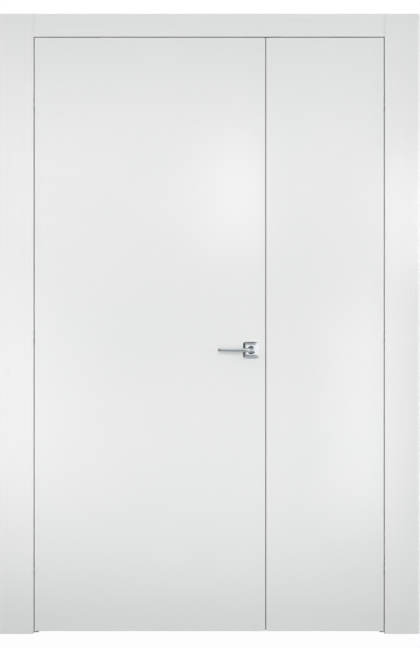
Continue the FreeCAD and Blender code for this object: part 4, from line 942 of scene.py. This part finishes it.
def area_light(name, place, target, width, height, spread, power, tint):
    """A rectangular lamp, with a grid before it that keeps its beam within the spread."""
    lamp = bpy.data.lights.new(name, "AREA")
    lamp.shape = "RECTANGLE"
    lamp.size = width
    lamp.size_y = height
    lamp.energy = power
    lamp.color = colour(tint)[:3]
    lamp.spread = math.radians(spread)
    holder = bpy.data.objects.new(name, lamp)
    bpy.context.scene.collection.objects.link(holder)
    aim = Vector(target) - Vector(place)
    holder.matrix_world = Matrix.Translation(place) @ aim.to_track_quat("-Z", "Y").to_matrix().to_4x4()
    holder.visible_camera = False
    # Mirrors show the white room and the cards, not the lamps
    holder.visible_glossy = False


def hang_lamps(stage):
    """Light the door's face, cast the handle's shadow, and light the back and the edges."""
    left_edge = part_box("front_casing_left")[0].x
    right_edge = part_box("front_casing_right")[1].x
    sheen_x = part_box("main_front_skin")[1].x - 0.11
    fill_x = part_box("narrow_front_skin")[1].x - 0.065
    # Each grid lamp hangs straight before the part of the door that it brightens
    for name, x, z, width, height, spread, power in (
        ("upper_band", -0.15, 1.6, 3.0, 0.1, 30.0, stage.upper_power),
        ("lower_band", 0.03, 0.45, 2.0, 0.8, 21.5, stage.lower_power),
        ("left_glow", left_edge, 0.75, 0.1, 0.85, 12.0, stage.left_power),
        ("right_glow", right_edge, 1.45, 0.3, 0.4, 4.2, stage.right_power),
        ("leaf_sheen", sheen_x, 1.55, 0.1, 0.35, 4.5, stage.glow_power),
        ("low_fill", fill_x, 0.8, 0.05, 0.8, 5.5, stage.fill_power),
    ):
        place = (x, -stage.grid_distance, z)
        area_light(name, place, (x, 0.0, z), width, height, spread, power, stage.lamp_tint)
    for name, place, target, width, height, spread, power in (
        ("key_lamp", (-1.2, -6.0, 2.5), (0.15, 0.0, 1.0), 0.6, 0.6, 180.0, stage.key_power),
        ("rear_soft_box", (0.0, 4.5, 1.6), (0.0, 0.0, 1.1), 3.0, 2.0, 180.0, stage.rear_power),
        ("left_edge_light", (-4.5, 0.0, 1.1), (-0.7, 0.0, 1.1), 0.3, 2.2, 20.0, stage.edge_power),
        ("right_edge_light", (4.5, 0.0, 1.1), (0.7, 0.0, 1.1), 0.3, 2.2, 20.0, stage.edge_power),
    ):
        area_light(name, place, target, width, height, spread, power, stage.lamp_tint)


def flat_mesh(name, low, high):
    """A rectangle between two corners that are level with each other along one axis."""
    first, second = [k for k in range(3) if low[k] != high[k]]
    corners = [Vector(low), Vector(low), Vector(high), Vector(low)]
    corners[1][first] = high[first]
    corners[3][second] = high[second]
    mesh = bpy.data.meshes.new(name)
    mesh.from_pydata(corners, [], [(0, 1, 2, 3)])
    return mesh


# The cards that the chrome mirrors: each one's range across, away from the wall's face and up, in metres,
# the axis along which it is graded, and its tones at the start and end of that range
MIRROR_CARDS = (
    ("left", (-2.2, -2.2), (0.12, 4.0), (-0.5, 3.4), "Z", "#86898b", "#0c0d0e"),
    ("far_left", (-2.2, -2.2), (4.0, 9.0), (-0.5, 2.2), "Y", "#a0a4a7", "#f4f5f6"),
    ("near_top", (-2.1, 2.0), (0.12, 0.6), (3.2, 3.2), "X", "#3a3c3e", "#6c6f71"),
    ("mid_top", (-2.1, 2.0), (0.6, 1.57), (3.2, 3.2), "X", "#3c3e40", "#b6b9bb"),
    ("far_top", (-2.1, 0.6), (1.57, 4.0), (3.2, 3.2), "X", "#262829", "#fafafa"),
    ("distant_top", (-2.1, 2.0), (4.0, 9.0), (3.2, 3.2), "X", "#d0d3d5", "#f4f5f6"),
    ("corner", (-3.4, -1.5), (6.0, 6.0), (2.7, 4.6), "X", "#0c0d0e", "#404244"),
    ("near_low", (-2.0, 2.0), (0.12, 0.5), (0.02, 0.02), "X", "#4b4d4f", "#4b4d4f"),
    ("far_low", (-2.0, 2.0), (0.5, 1.8), (0.02, 0.02), "X", "#b4b8bb", "#d8dbdd"),
    ("further_low", (-0.45, 2.0), (1.8, 4.2), (0.02, 0.02), "X", "#8a8e91", "#f0f1f2"),
    ("low_corner", (-1.9, -0.45), (1.8, 4.2), (0.02, 0.02), "X", "#404244", "#b2b4b6"),
)


def graded_card(name, low, high, axis, start_tone, end_tone):
    """A card, graded along one axis, that only mirrors show, to put something dark in the chrome."""
    felt, tree = new_material(name)
    place = add(tree, "ShaderNodeTexCoord").outputs["Object"]
    along = add(tree, "ShaderNodeSeparateXYZ", {"Vector": place})
    k = "XYZ".index(axis)
    share = add(
        tree, "ShaderNodeMapRange",
        {"Value": along.outputs[axis], "From Min": low[k], "From Max": high[k]},
    )
    tint = add(
        tree, "ShaderNodeMix",
        {"Factor": share.outputs["Result"], 6: colour(start_tone), 7: colour(end_tone)}, data_type="RGBA",
    )
    matt = add(tree, "ShaderNodeBsdfDiffuse", {"Color": tint.outputs[2]})
    add(tree, "ShaderNodeOutputMaterial", {"Surface": matt.outputs["BSDF"]})
    card = link_object(name, flat_mesh(name, low, high), felt)
    card.visible_camera = False
    card.visible_diffuse = False
    card.visible_shadow = False


def hang_cards():
    """Hang the same cards before the front and behind the rear."""
    for side, _, out in FACES:
        for name, across, away, up, axis, start_tone, end_tone in MIRROR_CARDS:
            low, high = zip(across, [out * reach for reach in away], up)
            graded_card(f"{name}_card_{side}", low, high, axis, start_tone, end_tone)


def front_camera(stage):
    """A camera square to the door, with a picture as high as the stage says at the leaf's face."""
    lens = bpy.data.cameras.new("view_from_the_front")
    lens.sensor_fit = "VERTICAL"
    lens.sensor_height = 24.0
    lens.lens = lens.sensor_height * (stage.distance + LEAF_FRONT) / stage.view_height
    camera = bpy.data.objects.new("view_from_the_front", lens)
    bpy.context.scene.collection.objects.link(camera)
    camera.location = (stage.eye_side, -stage.distance, stage.eye_height)
    camera.rotation_euler = (math.pi / 2, 0.0, 0.0)
    return camera


class DOOR_OT_set_stage(bpy.types.Operator):
    """Lay the floor, set the lights and place the camera"""

    bl_idname = "door.set_stage"
    bl_label = "Set stage"

    def execute(self, context):
        stage = context.scene.door_set.stage
        floor_half = 6.0
        floor = flat_mesh("floor", (-floor_half, -floor_half, 0.0), (floor_half, floor_half, 0.0))
        link_object("studio_floor", floor, studio_floor(stage.floor_tone))
        context.scene.world = studio_world(stage.ambient, stage.room_tint)
        hang_lamps(stage)
        hang_cards()
        context.scene.camera = front_camera(stage)
        context.scene.view_settings.view_transform = "Standard"
        return {"FINISHED"}


class DOOR_PT_set(bpy.types.Panel):
    """The door set's steps and settings"""

    bl_label = "Double door set"
    bl_idname = "DOOR_PT_set"
    bl_space_type = "VIEW_3D"
    bl_region_type = "UI"
    bl_category = "Door"

    def draw(self, context):
        settings = context.scene.door_set
        for step in STEPS:
            self.layout.operator(step.bl_idname)
        for title in ("finishes", "handle", "screws", "stage"):
            box = self.layout.box()
            box.label(text=title.capitalize())
            values = getattr(settings, title)
            for name in values.__annotations__:
                box.prop(values, name)


STEPS = (
    DOOR_OT_finish_boards, DOOR_OT_finish_ironwork, DOOR_OT_fit_levers, DOOR_OT_fit_roses,
    DOOR_OT_drive_screws, DOOR_OT_set_stage,
)
CLASSES = (DoorFinishes, DoorHandle, DoorScrews, DoorStage, DoorSet, *STEPS, DOOR_PT_set)


def register():
    for cls in CLASSES:
        bpy.utils.register_class(cls)
    bpy.types.Scene.door_set = bpy.props.PointerProperty(type=DoorSet)


def unregister():
    del bpy.types.Scene.door_set
    for cls in reversed(CLASSES):
        bpy.utils.unregister_class(cls)


def main():
    """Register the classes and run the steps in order."""
    register()
    bpy.ops.door.finish_boards()
    bpy.ops.door.finish_ironwork()
    bpy.ops.door.fit_levers()
    bpy.ops.door.fit_roses()
    bpy.ops.door.drive_screws()
    bpy.ops.door.set_stage()


if __name__ == "__main__":
    main()
